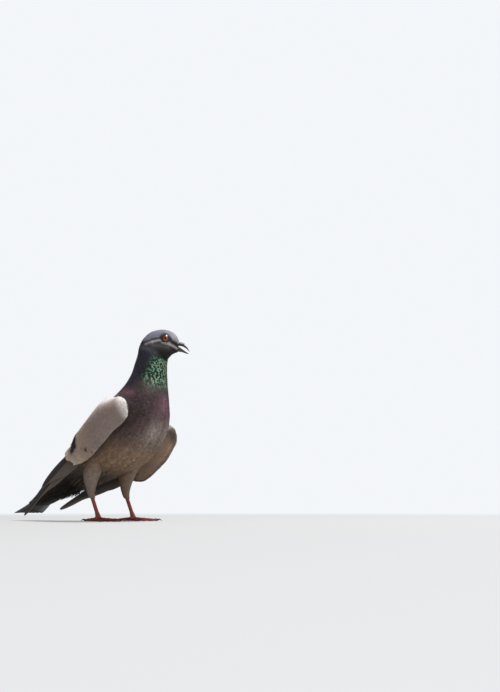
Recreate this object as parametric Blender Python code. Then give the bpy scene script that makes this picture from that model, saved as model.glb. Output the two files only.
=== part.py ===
"""A feral rock pigeon standing upright with lowered wings: a still, life-size model in solids.

Metres, +Z up. The bird faces -Y, its left side is +X, and its feet stand on Z = 0.
The numbers below are millimetres, in a sagittal frame whose Y grows towards the tail.
The whole bird is then moved so that the origin is under the middle of its box.
"""

import math

import bmesh
import bpy
from mathutils import Matrix, Vector

MM = 0.001
GAP = 0.3
SEAM = GAP / 2

# Head, neck, trunk and tail coverts are one lofted form, parted by thin cuts.
# Each station is a slice: its point on the back (y, z), its point on the front (y, z) and its half width.
BODY_STATIONS = {
    "tail_coverts_end": ((110, 40), (96, 27), 19.0),
    "tail_root": ((98, 52.5), (77, 33.5), 20.5),
    "vent": ((87, 64), (58, 41.5), 25.0),
    "rump": ((75, 76.5), (34, 46.5), 31.0),
    "loin": ((62.5, 89.5), (8, 53.5), 36.5),
    "belly": ((50, 102), (-18, 63), 39.5),
    "keel": ((37, 115), (-38, 79.5), 40.0),
    "breast": ((24.5, 128), (-50.5, 98), 38.0),
    "crop": ((12.5, 140.5), (-54.8, 116), 34.0),
    "shoulder": ((1, 150.5), (-54.6, 135), 28.5),
    "neck_low": ((-7.3, 160), (-54, 151), 23.6),
    "neck_mid": ((-13.2, 170), (-54, 165), 20.0),
    "neck_top": ((-16.6, 181), (-54, 178), 17.8),
    "nape": ((-20.0, 190), (-54.7, 184), 16.6),
    "occiput": ((-23.2, 199), (-55.3, 187), 15.2),
    "hind_crown": ((-28.5, 208), (-57.4, 189.5), 13.8),
    "crown": ((-35.5, 216), (-58.8, 191.3), 13.0),
    "eye_line": ((-44.1, 221), (-60.9, 192.6), 12.6),
    "forecrown": ((-52.9, 221.8), (-62.4, 193.4), 11.8),
    "forehead": ((-59.9, 219), (-63.8, 194), 10.2),
    "lore": ((-65, 213.5), (-65.3, 194.5), 7.8),
    "bill_base": ((-67.8, 208.3), (-66.6, 195), 5.2),
}
STATION_NAMES = list(BODY_STATIONS)
BODY_CUTS = {
    "tail_coverts": ("tail_coverts_end", "vent"),
    "trunk": ("vent", "shoulder"),
    "neck": ("shoulder", "nape"),
    "head": ("nape", "bill_base"),
}
BODY_SIDES = 24
BODY_STEPS = 2
BODY_SQUARENESS = 2.15
CUTTER_SIDES = 20
CUTTER_GROWTH = 1.5

# The head turns to the bird's left, about an upright line through the neck.
HEAD_TURN = math.radians(30)
NECK_AXIS_Y = -38.7
TWIST_FROM_Z = 150.0
TWIST_TO_Z = 194.0

EYE_CENTRE = (8.3, -52.0, 208.6)
EYE_RADIUS = 5.6

# Bill stations: distance in front of the neck axis, top and bottom height, half width.
UPPER_BILL = [
    (29.4, 206.3, 202.3, 4.2),
    (32.6, 205.0, 201.8, 3.3),
    (35.9, 202.9, 200.2, 2.5),
    (38.7, 200.4, 198.1, 1.8),
    (41.3, 197.1, 195.9, 0.6),
]
LOWER_BILL = [
    (29.1, 200.7, 195.3, 4.0),
    (32.4, 198.6, 194.9, 3.1),
    (35.9, 196.1, 193.7, 2.3),
    (38.5, 194.4, 192.9, 1.5),
    (40.4, 193.0, 192.1, 0.6),
]
CERE_CENTRE = (0.0, -70.6, 205.6)
CERE_HALF = (3.6, 3.7, 2.3)

# Tail: twelve closed feathers as one arched blade.
TAIL_TIP = (153.0, 8.5)
TAIL_HALF_WIDTH = 25.0
TAIL_ARCH = 4.0
TAIL_THICKNESS = 1.4
TAIL_RINGS = 12
TAIL_SIDES = 20

# Wings: a curved sheet. l runs from the wrist to the tip, b up across it, h outwards.
WING_LENGTH = 200.0
WINGS = {
    "right": {"side": -1, "wrist": (47.0, -28.5, 125.0), "tip": (32.0, 128.0, 10.0), "bow": 9.0,
              "wrap": 30.0, "rise": 5.0},
    "left": {"side": 1, "wrist": (54.0, -31.0, 102.5), "tip": (35.0, 127.0, 19.0), "bow": 11.0,
             "wrap": 40.0, "rise": 15.0},
}
WING_TIP_WRAP = 60.0
WING_LOWEST = -4.4
WING_CLEARANCE = 0.6
WING_FACE_B = (-3.0, -10.0)
WING_TIP_ROLL = math.radians(5)

# The covert shield: its lower and upper edges as (l, b), and its thickness outside and inside the sheet
# at its front and at its rear.
SHIELD_FROM, SHIELD_TO = -9.0, 112.0
SHIELD_LOW = [(-9, 0), (0, -11), (12, -18), (31, -24), (51, -28), (70, -28), (84, -20), (98, -9), (112, -2)]
SHIELD_HIGH = [(-9, 4), (0, 15), (15, 26), (38, 30), (62, 25), (84, 13), (100, 6), (112, 2)]
SHIELD_OUTER = (4.5, 2.4)
SHIELD_INNER = (7.5, 0.0)
SHIELD_LIFT = 0.6
SHIELD_RINGS = 16
SHIELD_HALF_SIDES = 9

# Flight feathers as two blades: reach of the upper and lower feather, upper and lower edge, and the
# heights of the blade's two faces off the sheet.
SECONDARIES = {
    "count": 6, "from_l": 84, "tips": (146, 118), "b": (5.5, -16), "narrowing": 3, "h": (-2.2, -0.6),
}
PRIMARIES = {
    "count": 6, "from_l": 88, "tips": (200, 146), "b": (5, -15), "narrowing": 8, "h": (-4.4, -2.8),
}
FEATHER_TIP_DEPTH = 7.0
BLADE_COLUMNS = 19
BLADE_ROWS = 6

# Legs: the middle of each slice (y, z) under the right hip, then its half width and half depth.
THIGH = [
    ((8, 86), 8.0, 13.0),
    ((16, 75), 11.0, 14.5),
    ((23, 62), 10.8, 12.5),
    ((27, 49), 8.3, 9.2),
    ((27.5, 38), 5.6, 6.1),
    ((26.5, 30), 3.9, 4.2),
]
HOCK_Z = 30.0
SHANK_FOOT_SHIFT = -11.0
SHANK_HALF = (1.9, 2.3)
LEGS = {"right": {"side": -1, "shift": 0.0}, "left": {"side": 1, "shift": -13.5}}
HIP_X = 25.0
FOOT_X = 24.0
FOOT_PAD_RADIUS = 5.4
FOOT_PAD_HEIGHT = 6.0
# The pad's radius up its height, both as shares of the whole.
FOOT_PAD_PROFILE = [(0.0, 0.88), (0.12, 0.98), (0.45, 1.0), (0.8, 0.82), (1.0, 0.6)]
# Toes: angle from straight ahead towards the midline, length, half width at the root.
TOES = {
    "hind": {"angle": 172, "length": 15.5, "half_width": 1.55},
    "inner": {"angle": 38, "length": 19.5, "half_width": 1.6},
    "middle": {"angle": -4, "length": 27.0, "half_width": 1.75},
    "outer": {"angle": -44, "length": 19.0, "half_width": 1.6},
}
TOE_TAPER = 0.28
TOE_HEIGHTS = (4.4, 2.5)
CLAW_LENGTH = 6.5
CLAW_HALF = 0.95

COLOURS = {
    "slate": (0.115, 0.125, 0.15, 0.75, 0.0),
    "neck_green": (0.06, 0.16, 0.11, 0.4, 0.3),
    "body_grey": (0.19, 0.18, 0.185, 0.8, 0.0),
    "wing_grey": (0.42, 0.42, 0.44, 0.8, 0.0),
    "flight_grey": (0.09, 0.085, 0.09, 0.7, 0.0),
    "tail_grey": (0.1, 0.105, 0.12, 0.7, 0.0),
    "leg_red": (0.42, 0.09, 0.08, 0.6, 0.0),
    "bill_black": (0.02, 0.02, 0.022, 0.35, 0.0),
    "cere_white": (0.7, 0.68, 0.64, 0.75, 0.0),
    "eye_orange": (0.6, 0.12, 0.02, 0.1, 0.0),
    "claw_black": (0.03, 0.027, 0.025, 0.4, 0.0),
}


def clear_scene():
    for obj in list(bpy.data.objects):
        bpy.data.objects.remove(obj)


def material(name):
    found = bpy.data.materials.get(name)
    if found:
        return found
    red, green, blue, roughness, metallic = COLOURS[name]
    made = bpy.data.materials.new(name)
    made.use_nodes = True
    shader = made.node_tree.nodes["Principled BSDF"]
    shader.inputs["Base Color"].default_value = (red, green, blue, 1.0)
    shader.inputs["Roughness"].default_value = roughness
    shader.inputs["Metallic"].default_value = metallic
    return made


def add_object(name, mesh, colour, root):
    obj = bpy.data.objects.new(name, mesh)
    bpy.context.scene.collection.objects.link(obj)
    obj.parent = root
    if colour:
        mesh.materials.append(material(colour))
    return obj


def loft(name, rings, colour, root, crease=50):
    """A closed body through rings of as many points each, in millimetres, capped at both ends."""
    bm = bmesh.new()
    loops = [[bm.verts.new(Vector(p) * MM) for p in ring] for ring in rings]
    count = len(loops[0])
    for low, high in zip(loops, loops[1:]):
        for i in range(count):
            j = (i + 1) % count
            bm.faces.new((low[i], low[j], high[j], high[i]))
    bm.faces.new(loops[0][::-1])
    bm.faces.new(loops[-1])
    bmesh.ops.recalc_face_normals(bm, faces=bm.faces)
    mesh = bpy.data.meshes.new(name)
    bm.to_mesh(mesh)
    bm.free()
    mesh.shade_smooth()
    mesh.set_sharp_from_angle(angle=math.radians(crease))
    return add_object(name, mesh, colour, root)


def blend_values(a, b, share):
    return a + (b - a) * share


def smoothstep(low, high, value):
    share = min(1.0, max(0.0, (value - low) / (high - low)))
    return share * share * (3 - 2 * share)


def catmull(rows, place):
    """The row of numbers at a fractional place along rows, on a smooth curve through them."""
    last = len(rows) - 1
    i = min(int(place), last - 1)
    t = place - i
    p0, p1, p2, p3 = (rows[min(max(k, 0), last)] for k in (i - 1, i, i + 1, i + 2))
    return [
        0.5 * (2 * b + (c - a) * t + (2 * a - 5 * b + 4 * c - d) * t * t + (3 * b - a - 3 * c + d) * t**3)
        for a, b, c, d in zip(p0, p1, p2, p3)
    ]


def superellipse(count, power):
    """Unit points (across, up) round a closed curve; power 2 is a circle and more is squarer."""
    for i in range(count):
        angle = 2 * math.pi * i / count
        c, s = math.cos(angle), math.sin(angle)
        yield (
            math.copysign(abs(s) ** (2 / power), s),
            math.copysign(abs(c) ** (2 / power), c),
        )


def turned_head(point, share=1.0):
    """The point after the head's turn about the neck, or a share of that turn."""
    x, y, z = point
    angle = HEAD_TURN * share
    y -= NECK_AXIS_Y
    return (
        x * math.cos(angle) - y * math.sin(angle),
        x * math.sin(angle) + y * math.cos(angle) + NECK_AXIS_Y,
        z,
    )


def body_slice(place):
    """The middle of the body form's slice at a place, its half height as a vector, and its half width."""
    rows = [(*back, *front, half) for back, front, half in BODY_STATIONS.values()]
    back_y, back_z, front_y, front_z, half = catmull(rows, place)
    up = Vector((0, back_y - front_y, back_z - front_z)) / 2
    return Vector((0, back_y + front_y, back_z + front_z)) / 2, up, half


def body_point(place, across, upward, shift=0.0, inflate=0.0):
    """A point of the body form's slice at a place, from unit coordinates across and up it."""
    middle, up, half = body_slice(place)
    normal = Vector((1, 0, 0)).cross(up).normalized()
    up *= 1 + inflate / up.length
    point = middle + up * upward + Vector((across * (half + inflate), 0, 0)) + normal * shift
    return turned_head(point, smoothstep(TWIST_FROM_Z, TWIST_TO_Z, middle.z))


def body_half_width(y, z):
    """How far the body form reaches to each side at (y, z) of the sagittal plane, or 0 outside it."""
    low, high = 0.0, float(STATION_NAMES.index("nape"))
    for _ in range(20):
        place = (low + high) / 2
        middle, up, half = body_slice(place)
        offset = Vector((0, y, z)) - middle
        if Vector((1, 0, 0)).cross(up).dot(offset) > 0:
            low = place
        else:
            high = place
    height = min(1.0, abs(offset.dot(up)) / up.length_squared)
    return half * (1 - height**BODY_SQUARENESS) ** (1 / BODY_SQUARENESS)


def body_ring(place, shift=0.0, inflate=0.0, sides=BODY_SIDES):
    """One slice of the body form, moved along its own normal by shift and grown by inflate."""
    spots = superellipse(sides, BODY_SQUARENESS)
    return [body_point(place, across, upward, shift, inflate) for across, upward in spots]


def body_piece(name, first, last, colour, root):
    start, end = STATION_NAMES.index(first), STATION_NAMES.index(last)
    steps = (end - start) * BODY_STEPS
    inner = [body_ring(start + i / BODY_STEPS) for i in range(1, steps)]
    return loft(name, [body_ring(start, SEAM), *inner, body_ring(end, -SEAM)], colour, root)


def body_cutter(root):
    """The whole form in fewer faces, a little larger, as a cutter for what meets it."""
    rings = [body_ring(i, inflate=CUTTER_GROWTH, sides=CUTTER_SIDES) for i in range(len(STATION_NAMES))]
    return hidden(loft("body_cutter", rings, None, root))


def hidden(obj):
    obj.hide_render = True
    obj.display_type = "WIRE"
    return obj


def grown(obj, by, root):
    """A hidden copy whose surface stands out by the given millimetres."""
    mesh = obj.data.copy()
    moved = [v.co + v.normal * by * MM for v in mesh.vertices]
    for vertex, place in zip(mesh.vertices, moved):
        vertex.co = place
    return hidden(add_object(obj.name + "_cutter", mesh, None, root))


def carve(obj, *cutters):
    for cutter in cutters:
        cut = obj.modifiers.new("cut_by_" + cutter.name, "BOOLEAN")
        cut.operation = "DIFFERENCE"
        cut.solver = "EXACT"
        cut.object = cutter


def ellipsoid(name, centre, half, colour, root, rotation=None, segments=16, rings=10):
    bm = bmesh.new()
    bmesh.ops.create_uvsphere(bm, u_segments=segments, v_segments=rings, radius=1)
    place = Matrix.Translation(Vector(centre) * MM)
    size = Matrix.Diagonal((*[h * MM for h in half], 1))
    bmesh.ops.transform(bm, matrix=place @ (rotation or Matrix.Identity(4)) @ size, verts=bm.verts)
    mesh = bpy.data.meshes.new(name)
    bm.to_mesh(mesh)
    bm.free()
    mesh.shade_smooth()
    return add_object(name, mesh, colour, root)


def bill_half(name, stations, root):
    rings = []
    for i in range((len(stations) - 1) * 2 + 1):
        ahead, top, bottom, half = catmull(stations, i / 2)
        ring = []
        for across, upward in superellipse(10, 2.2):
            height = (top + bottom) / 2 + upward * (top - bottom) / 2
            ring.append(turned_head((across * half, NECK_AXIS_Y - ahead, height)))
        rings.append(ring)
    return loft(name, rings, "bill_black", root)


def build_head_parts(head, root):
    for side, sign in (("left", 1), ("right", -1)):
        x, y, z = EYE_CENTRE
        centre = turned_head((sign * x, y, z))
        ellipsoid("eye_" + side, centre, [EYE_RADIUS] * 3, "eye_orange", root)
        socket = ellipsoid("socket_" + side, centre, [EYE_RADIUS + GAP] * 3, None, root)
        carve(head, hidden(socket))
    upper = bill_half("bill_upper", UPPER_BILL, root)
    bill_half("bill_lower", LOWER_BILL, root)
    turn = Matrix.Rotation(HEAD_TURN, 4, "Z")
    cere = ellipsoid("cere", turned_head(CERE_CENTRE), CERE_HALF, "cere_white", root, turn, 12, 8)
    carve(cere, grown(upper, GAP, root), grown(head, GAP, root))


def tail_ring(share):
    """A slice of the tail from its coverts to its tip; the outline rounds off at the end."""
    back, front, start_half = BODY_STATIONS["tail_coverts_end"]
    back, front, tip = Vector((0, *back)), Vector((0, *front)), Vector((0, *TAIL_TIP))
    seam_up = (back - front).normalized()
    start = (back + front) / 2 + seam_up.cross(Vector((1, 0, 0))) * SEAM
    along = (tip - start).normalized()
    up = seam_up.lerp(along.cross(Vector((-1, 0, 0))), smoothstep(0, 0.4, share)).normalized()
    round_off = math.sqrt(max(0.0, 1 - max(0.0, (share - 0.72) / 0.28) ** 2.4))
    half = blend_values(start_half, TAIL_HALF_WIDTH, smoothstep(0, 0.9, share)) * max(round_off, 0.3)
    thick = blend_values((back - front).length, TAIL_THICKNESS, smoothstep(0, 0.6, share))
    middle = start.lerp(tip, share)
    ring = []
    for across, upward in superellipse(TAIL_SIDES, 2.3):
        drop = TAIL_ARCH * smoothstep(0, 0.6, share) * (across * half / TAIL_HALF_WIDTH) ** 2
        ring.append(middle + Vector((across * half, 0, 0)) + up * (upward * thick / 2 - drop))
    return ring


def build_tail(root):
    rings = [tail_ring(i / (TAIL_RINGS - 1)) for i in range(TAIL_RINGS)]
    return loft("tail", rings, "tail_grey", root)


class Wing:
    """The curved sheet that a folded wing's pieces lie on, and its placing on one side of the bird."""

    def __init__(self, side, wrist, tip, bow, wrap, rise):
        self.side = side
        self.wrist = Vector(wrist)
        self.tip = Vector(tip)
        self.bow = bow
        self.wrap = wrap
        self.rise = rise
        self.along = (self.tip - self.wrist).normalized()
        upright = Vector((0, 0, 1))
        self.up = (upright - self.along * upright.dot(self.along)).normalized()
        self.out = self.up.cross(self.along)
        if self.out.x < 0:
            self.out = -self.out

    def point(self, l, b, h):
        """The place at l millimetres from the wrist, b up across the wing and h off its sheet."""
        share = l / WING_LENGTH
        axis = self.wrist.lerp(self.tip, share)
        axis.x += 4 * self.bow * share * (1 - share)
        face = blend_values(*WING_FACE_B, smoothstep(10, 70, l))
        radius = blend_values(self.wrap, WING_TIP_WRAP, smoothstep(80, 140, l))
        roll = WING_TIP_ROLL * smoothstep(60, WING_LENGTH, l)
        turn = (b - face) / radius
        normal = self.out * math.cos(turn + roll) + self.up * math.sin(turn + roll)
        across = self.up * math.cos(roll) - self.out * math.sin(roll)
        inward = self.out * math.cos(roll) + self.up * math.sin(roll)
        sheet = across * math.sin(turn) - inward * (1 - math.cos(turn))
        place = axis + self.up * face + sheet * radius + normal * h
        clear_x = body_half_width(place.y, place.z) + WING_CLEARANCE + max(0.0, h - WING_LOWEST)
        return Vector((max(place.x, clear_x) * self.side, place.y, place.z))


def edge_at(stops, l):
    """A height read from a smooth line through (l, height) stops."""
    for i in range(len(stops) - 1):
        low, high = stops[i][0], stops[i + 1][0]
        if l <= high or i == len(stops) - 2:
            share = min(1.0, max(0.0, (l - low) / (high - low)))
            return catmull([(s[1],) for s in stops], i + share)[0]


def shield_ring(wing, l):
    low = edge_at(SHIELD_LOW, l)
    high = edge_at(SHIELD_HIGH, l) + wing.rise * smoothstep(0, 20, l) * (1 - smoothstep(60, 105, l))
    rear = smoothstep(28, 82, l)
    fullness = 0.35 + 0.65 * smoothstep(SHIELD_FROM, 8, l)
    outer = blend_values(*SHIELD_OUTER, rear) * fullness
    inner = blend_values(*SHIELD_INNER, rear) * fullness
    ring = []
    for i in range(SHIELD_HALF_SIDES + 1):
        share = i / SHIELD_HALF_SIDES
        rise = math.sin(math.pi * share) ** 0.55
        ring.append(wing.point(l, blend_values(low, high, share), SHIELD_LIFT + outer * rise))
    for i in range(SHIELD_HALF_SIDES, -1, -1):
        share = i / SHIELD_HALF_SIDES
        rise = math.sin(math.pi * share**0.7) ** 0.8
        ring.append(wing.point(l, blend_values(low, high, share), -inner * rise))
    return ring


def blade_end(group, share):
    """How far along the wing the feathers of a group reach, at a share of its width from its upper edge."""
    place = share * group["count"]
    i = min(int(place), group["count"] - 1)
    tip = blend_values(*group["tips"], i / (group["count"] - 1))
    across = 2 * (place - i) - 1
    return tip - FEATHER_TIP_DEPTH * across * across


def blade_ring(wing, group, share):
    """A strip of the blade at a share of its width, as a closed loop from root to feather tip and back."""
    end = blade_end(group, share)
    low, high = group["h"]
    outer, inner = [], []
    for i in range(BLADE_ROWS):
        l = blend_values(group["from_l"], end, i / (BLADE_ROWS - 1))
        closing = group["narrowing"] * smoothstep(group["from_l"], WING_LENGTH, l)
        b = blend_values(*group["b"], share) + closing * (share * 2 - 1)
        outer.append(wing.point(l, b, high))
        inner.append(wing.point(l, b, low))
    return outer + inner[::-1]


def build_blade(name, wing, group, root):
    rings = [blade_ring(wing, group, i / (BLADE_COLUMNS - 1)) for i in range(BLADE_COLUMNS)]
    return loft(name, rings, "flight_grey", root, 35)


def build_wing(name, wing, root):
    rings = []
    for i in range(SHIELD_RINGS):
        share = (1 - math.cos(math.pi * i / (SHIELD_RINGS - 1))) / 2
        rings.append(shield_ring(wing, blend_values(SHIELD_FROM, SHIELD_TO, share)))
    loft("wing_coverts_" + name, rings, "wing_grey", root)
    build_blade("secondaries_" + name, wing, SECONDARIES, root)
    build_blade("primaries_" + name, wing, PRIMARIES, root)


def flat_ring(x, y, z, half_x, half_y, count=14):
    return [(x + half_x * across, y + half_y * up, z) for across, up in superellipse(count, 2.0)]


def build_leg(name, side, shift, cutter, root):
    rows = [(y, z, half_x, half_y) for (y, z), half_x, half_y in THIGH]
    rings = []
    for i in range((len(rows) - 1) * 2 + 1):
        y, z, half_x, half_y = catmull(rows, i / 2)
        inward = blend_values(FOOT_X, HIP_X, smoothstep(HOCK_Z, 70, z))
        rings.append(flat_ring(side * inward, y + shift, z, half_x, half_y))
    thigh = loft("thigh_" + name, rings, "body_grey", root)
    carve(thigh, cutter)
    hock_y = THIGH[-1][0][0] + shift
    foot_y = hock_y + SHANK_FOOT_SHIFT
    rings = []
    for i in range(6):
        share = i / 5
        z = blend_values(HOCK_Z - GAP, FOOT_PAD_HEIGHT + GAP, share)
        knob = 1 + 0.55 * (1 - smoothstep(0, 0.25, share)) + 0.35 * smoothstep(0.75, 1, share)
        y = blend_values(hock_y, foot_y, share)
        rings.append(flat_ring(side * FOOT_X, y, z, SHANK_HALF[0] * knob, SHANK_HALF[1] * knob, 10))
    loft("shank_" + name, rings, "leg_red", root)
    build_foot(name, side, foot_y, root)


def build_foot(name, side, foot_y, root):
    rings = []
    for height, width in FOOT_PAD_PROFILE:
        radius = FOOT_PAD_RADIUS * width
        rings.append(flat_ring(side * FOOT_X, foot_y, height * FOOT_PAD_HEIGHT, radius, radius))
    loft("foot_" + name, rings, "leg_red", root)
    for toe, row in TOES.items():
        build_toe(f"{toe}_{name}", side, foot_y, row, root)


def toe_place(side, foot_y, angle, distance, across, height):
    """A point beside a toe's middle line, which leaves the foot at an angle towards the midline."""
    heading = math.radians(angle)
    ahead = Vector((-side * math.sin(heading), -math.cos(heading), 0))
    beside = Vector((-ahead.y, ahead.x, 0))
    return Vector((side * FOOT_X, foot_y, height)) + ahead * distance + beside * across


def toe_ring(side, foot_y, angle, distance, half_width, low, high):
    ring = []
    for across, up in superellipse(8, 2.3):
        height = (low + high) / 2 + up * (high - low) / 2
        ring.append(toe_place(side, foot_y, angle, distance, across * half_width, height))
    return ring


def build_toe(name, side, foot_y, row, root):
    """A toe with its underside flat on the floor, and its claw."""
    start = FOOT_PAD_RADIUS + GAP
    length, angle = row["length"], row["angle"]
    rings = []
    for i in range(7):
        share = i / 6
        joint = 1 + 0.07 * math.cos(share * 6 * math.pi)
        half = row["half_width"] * (1 - TOE_TAPER * share) * joint
        top = blend_values(*TOE_HEIGHTS, share)
        rings.append(toe_ring(side, foot_y, angle, start + length * share, half, 0.0, top))
    loft("toe_" + name, rings, "leg_red", root)
    start += length + GAP
    rings = []
    for i in range(5):
        share = i / 4
        half = CLAW_HALF * (1 - 0.8 * share)
        middle = 1.45 + 0.9 * math.sin(math.pi * share) - 1.1 * share * share
        place = start + CLAW_LENGTH * share
        rings.append(toe_ring(side, foot_y, angle, place, half, middle - half, middle + half))
    loft("claw_" + name, rings, "claw_black", root)


def centre_bird(root):
    """Moves the bird so that the origin is under the middle of its box."""
    bpy.context.view_layer.update()
    graph = bpy.context.evaluated_depsgraph_get()
    low, high = Vector((1e9,) * 3), Vector((-1e9,) * 3)
    for obj in bpy.data.objects:
        if obj.type != "MESH" or obj.hide_render:
            continue
        for vertex in obj.evaluated_get(graph).data.vertices:
            place = obj.matrix_world @ vertex.co
            low = Vector(map(min, low, place))
            high = Vector(map(max, high, place))
    root.location = (-(low.x + high.x) / 2, -(low.y + high.y) / 2, -low.z)


def main():
    clear_scene()
    root = bpy.data.objects.new("pigeon", None)
    bpy.context.scene.collection.objects.link(root)
    colours = {"tail_coverts": "tail_grey", "trunk": "body_grey", "neck": "neck_green", "head": "slate"}
    pieces = {
        name: body_piece(name, first, last, colours[name], root)
        for name, (first, last) in BODY_CUTS.items()
    }
    build_head_parts(pieces["head"], root)
    cutter = body_cutter(root)
    build_tail(root)
    for name, row in WINGS.items():
        build_wing(name, Wing(**row), root)
    for name, row in LEGS.items():
        build_leg(name, row["side"], row["shift"], cutter, root)
    centre_bird(root)


main()
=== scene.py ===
"""Looks of the feral pigeon: its skin, its coat of mesh feathers, eyes, bill and feet, light and camera.

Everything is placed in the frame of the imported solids. The named sizes repeat those of the solids, in
millimetres, in a sagittal frame whose Y grows towards the tail; to_row() takes them to the row frame.
"""
import math

import bmesh
import bpy
import numpy as np
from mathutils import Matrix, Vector
from mathutils.kdtree import KDTree


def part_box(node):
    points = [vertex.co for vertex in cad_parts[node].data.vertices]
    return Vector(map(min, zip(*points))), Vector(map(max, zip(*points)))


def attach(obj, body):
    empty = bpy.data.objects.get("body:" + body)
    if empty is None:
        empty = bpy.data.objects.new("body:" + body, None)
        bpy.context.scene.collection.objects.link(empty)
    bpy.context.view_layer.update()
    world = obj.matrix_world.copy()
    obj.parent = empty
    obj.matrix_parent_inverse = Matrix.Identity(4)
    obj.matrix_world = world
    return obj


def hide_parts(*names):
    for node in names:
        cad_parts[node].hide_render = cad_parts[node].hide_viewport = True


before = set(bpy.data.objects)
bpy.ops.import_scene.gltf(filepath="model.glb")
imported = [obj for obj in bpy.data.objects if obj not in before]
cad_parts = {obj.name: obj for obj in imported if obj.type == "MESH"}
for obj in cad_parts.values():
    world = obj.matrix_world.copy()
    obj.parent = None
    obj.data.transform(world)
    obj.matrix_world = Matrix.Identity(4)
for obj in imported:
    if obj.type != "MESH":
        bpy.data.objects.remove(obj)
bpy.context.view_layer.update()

MM = 0.001
SEED = 7

# Body form: each station's point on the back (y, z), on the front (y, z) and half width, tail to bill.
BODY_STATIONS = {
    "tail_coverts_end": ((110, 40), (96, 27), 19.0),
    "tail_root": ((98, 52.5), (77, 33.5), 20.5),
    "vent": ((87, 64), (58, 41.5), 25.0),
    "rump": ((75, 76.5), (34, 46.5), 31.0),
    "loin": ((62.5, 89.5), (8, 53.5), 36.5),
    "belly": ((50, 102), (-18, 63), 39.5),
    "keel": ((37, 115), (-38, 79.5), 40.0),
    "breast": ((24.5, 128), (-50.5, 98), 38.0),
    "crop": ((12.5, 140.5), (-54.8, 116), 34.0),
    "shoulder": ((1, 150.5), (-54.6, 135), 28.5),
    "neck_low": ((-7.3, 160), (-54, 151), 23.6),
    "neck_mid": ((-13.2, 170), (-54, 165), 20.0),
    "neck_top": ((-16.6, 181), (-54, 178), 17.8),
    "nape": ((-20.0, 190), (-54.7, 184), 16.6),
    "occiput": ((-23.2, 199), (-55.3, 187), 15.2),
    "hind_crown": ((-28.5, 208), (-57.4, 189.5), 13.8),
    "crown": ((-35.5, 216), (-58.8, 191.3), 13.0),
    "eye_line": ((-44.1, 221), (-60.9, 192.6), 12.6),
    "forecrown": ((-52.9, 221.8), (-62.4, 193.4), 11.8),
    "forehead": ((-59.9, 219), (-63.8, 194), 10.2),
    "lore": ((-65, 213.5), (-65.3, 194.5), 7.8),
    "bill_base": ((-67.8, 208.3), (-66.6, 195), 5.2),
}
# The coat runs on over the root of the tail.
COAT_END_STATIONS = [((126, 23.2), (121, 18.0), 19.2), ((117.5, 32.5), (108, 21.5), 19.6)]
BODY_SQUARENESS = 2.15
BODY_ROWS = np.array([[*back, *front, half] for back, front, half in BODY_STATIONS.values()], float)
END_ROWS = np.array([[*back, *front, half] for back, front, half in COAT_END_STATIONS], float)
COAT_ROWS = np.concatenate([END_ROWS, BODY_ROWS])
NAMES = list(BODY_STATIONS)
# Plumage that stands fuller, or lies flatter, over the back points than the solids, in millimetres.
FULLNESS = {"nape": 0.8, "occiput": 2.6, "hind_crown": 3.8, "crown": 2.6, "eye_line": 0.2, "forecrown": -0.8,
            "forehead": -0.4}
for name, more in FULLNESS.items():
    row = COAT_ROWS[len(END_ROWS) + NAMES.index(name)]
    outward = row[:2] - row[2:4]
    row[:2] += more * outward / np.linalg.norm(outward)

HEAD_TURN = math.radians(30)
NECK_AXIS_Y = -38.7
TWIST_FROM_Z = 150.0
TWIST_TO_Z = 194.0

EYE_CENTRE = (8.3, -52.0, 208.6)
EYE_RADIUS = 5.6
CORNEA_BULGE = 0.12
SOCKET_RADIUS = 5.75
SOCKET_FROM = -4.0
GAZE_FORWARD = math.radians(5)
# The bare rim round an eye: degrees from the eye's outward axis, and distance from its centre.
LIDS = [(63, 5.5), (62, 6.2), (58, 6.5), (53, 6.42), (49, 6.2), (46, 5.95), (44.3, 5.78), (44.6, 5.63),
        (50, 5.5)]
# Feathers begin this far from the eye's middle, in the side view.
LID_OUTER = 5.0

# Bill stations from the base to the tip: distance ahead of the neck's axis, top, bottom and half width.
UPPER_BILL = [
    (26.5, 206.8, 202.6, 4.6),
    (29.4, 206.3, 202.3, 4.2),
    (32.6, 205.0, 201.8, 3.3),
    (35.9, 202.9, 200.2, 2.5),
    (38.7, 200.4, 198.1, 1.8),
    (41.3, 197.1, 195.9, 0.6),
]
LOWER_BILL = [
    (26.5, 201.8, 195.6, 4.4),
    (29.1, 200.7, 195.3, 4.0),
    (32.4, 198.6, 194.9, 3.1),
    (35.9, 196.1, 193.7, 2.3),
    (38.5, 194.4, 192.9, 1.5),
    (40.4, 193.0, 192.1, 0.6),
]

TAIL_FEATHERS = 12
TAIL_TIP = (153.0, 8.5)
TAIL_HALF_WIDTH = 25.0
TAIL_ARCH = 4.0

WING_LENGTH = 200.0
# Each wing's sheet from wrist to tip: how far it bows out, the radius that it wraps round, how much its upper
# edge rises and its lower edge drops, and how far its coverts swell.
WINGS = {
    "right": {"side": -1, "wrist": (47.0, -28.5, 125.0), "tip": (32.0, 128.0, 10.0), "bow": 9.0,
              "wrap": 30.0, "rise": 8.0, "drop": -3.5, "crest": 4.0},
    "left": {"side": 1, "wrist": (54.0, -31.0, 102.5), "tip": (35.0, 127.0, 19.0), "bow": 11.0,
             "wrap": 40.0, "rise": 15.0, "drop": 7.0, "crest": 0.0},
}
WING_TIP_WRAP = 60.0
WING_LOWEST = -4.4
WING_CLEARANCE = 0.6
WING_FACE_B = (-3.0, -10.0)
WING_TIP_ROLL = math.radians(5)
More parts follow.
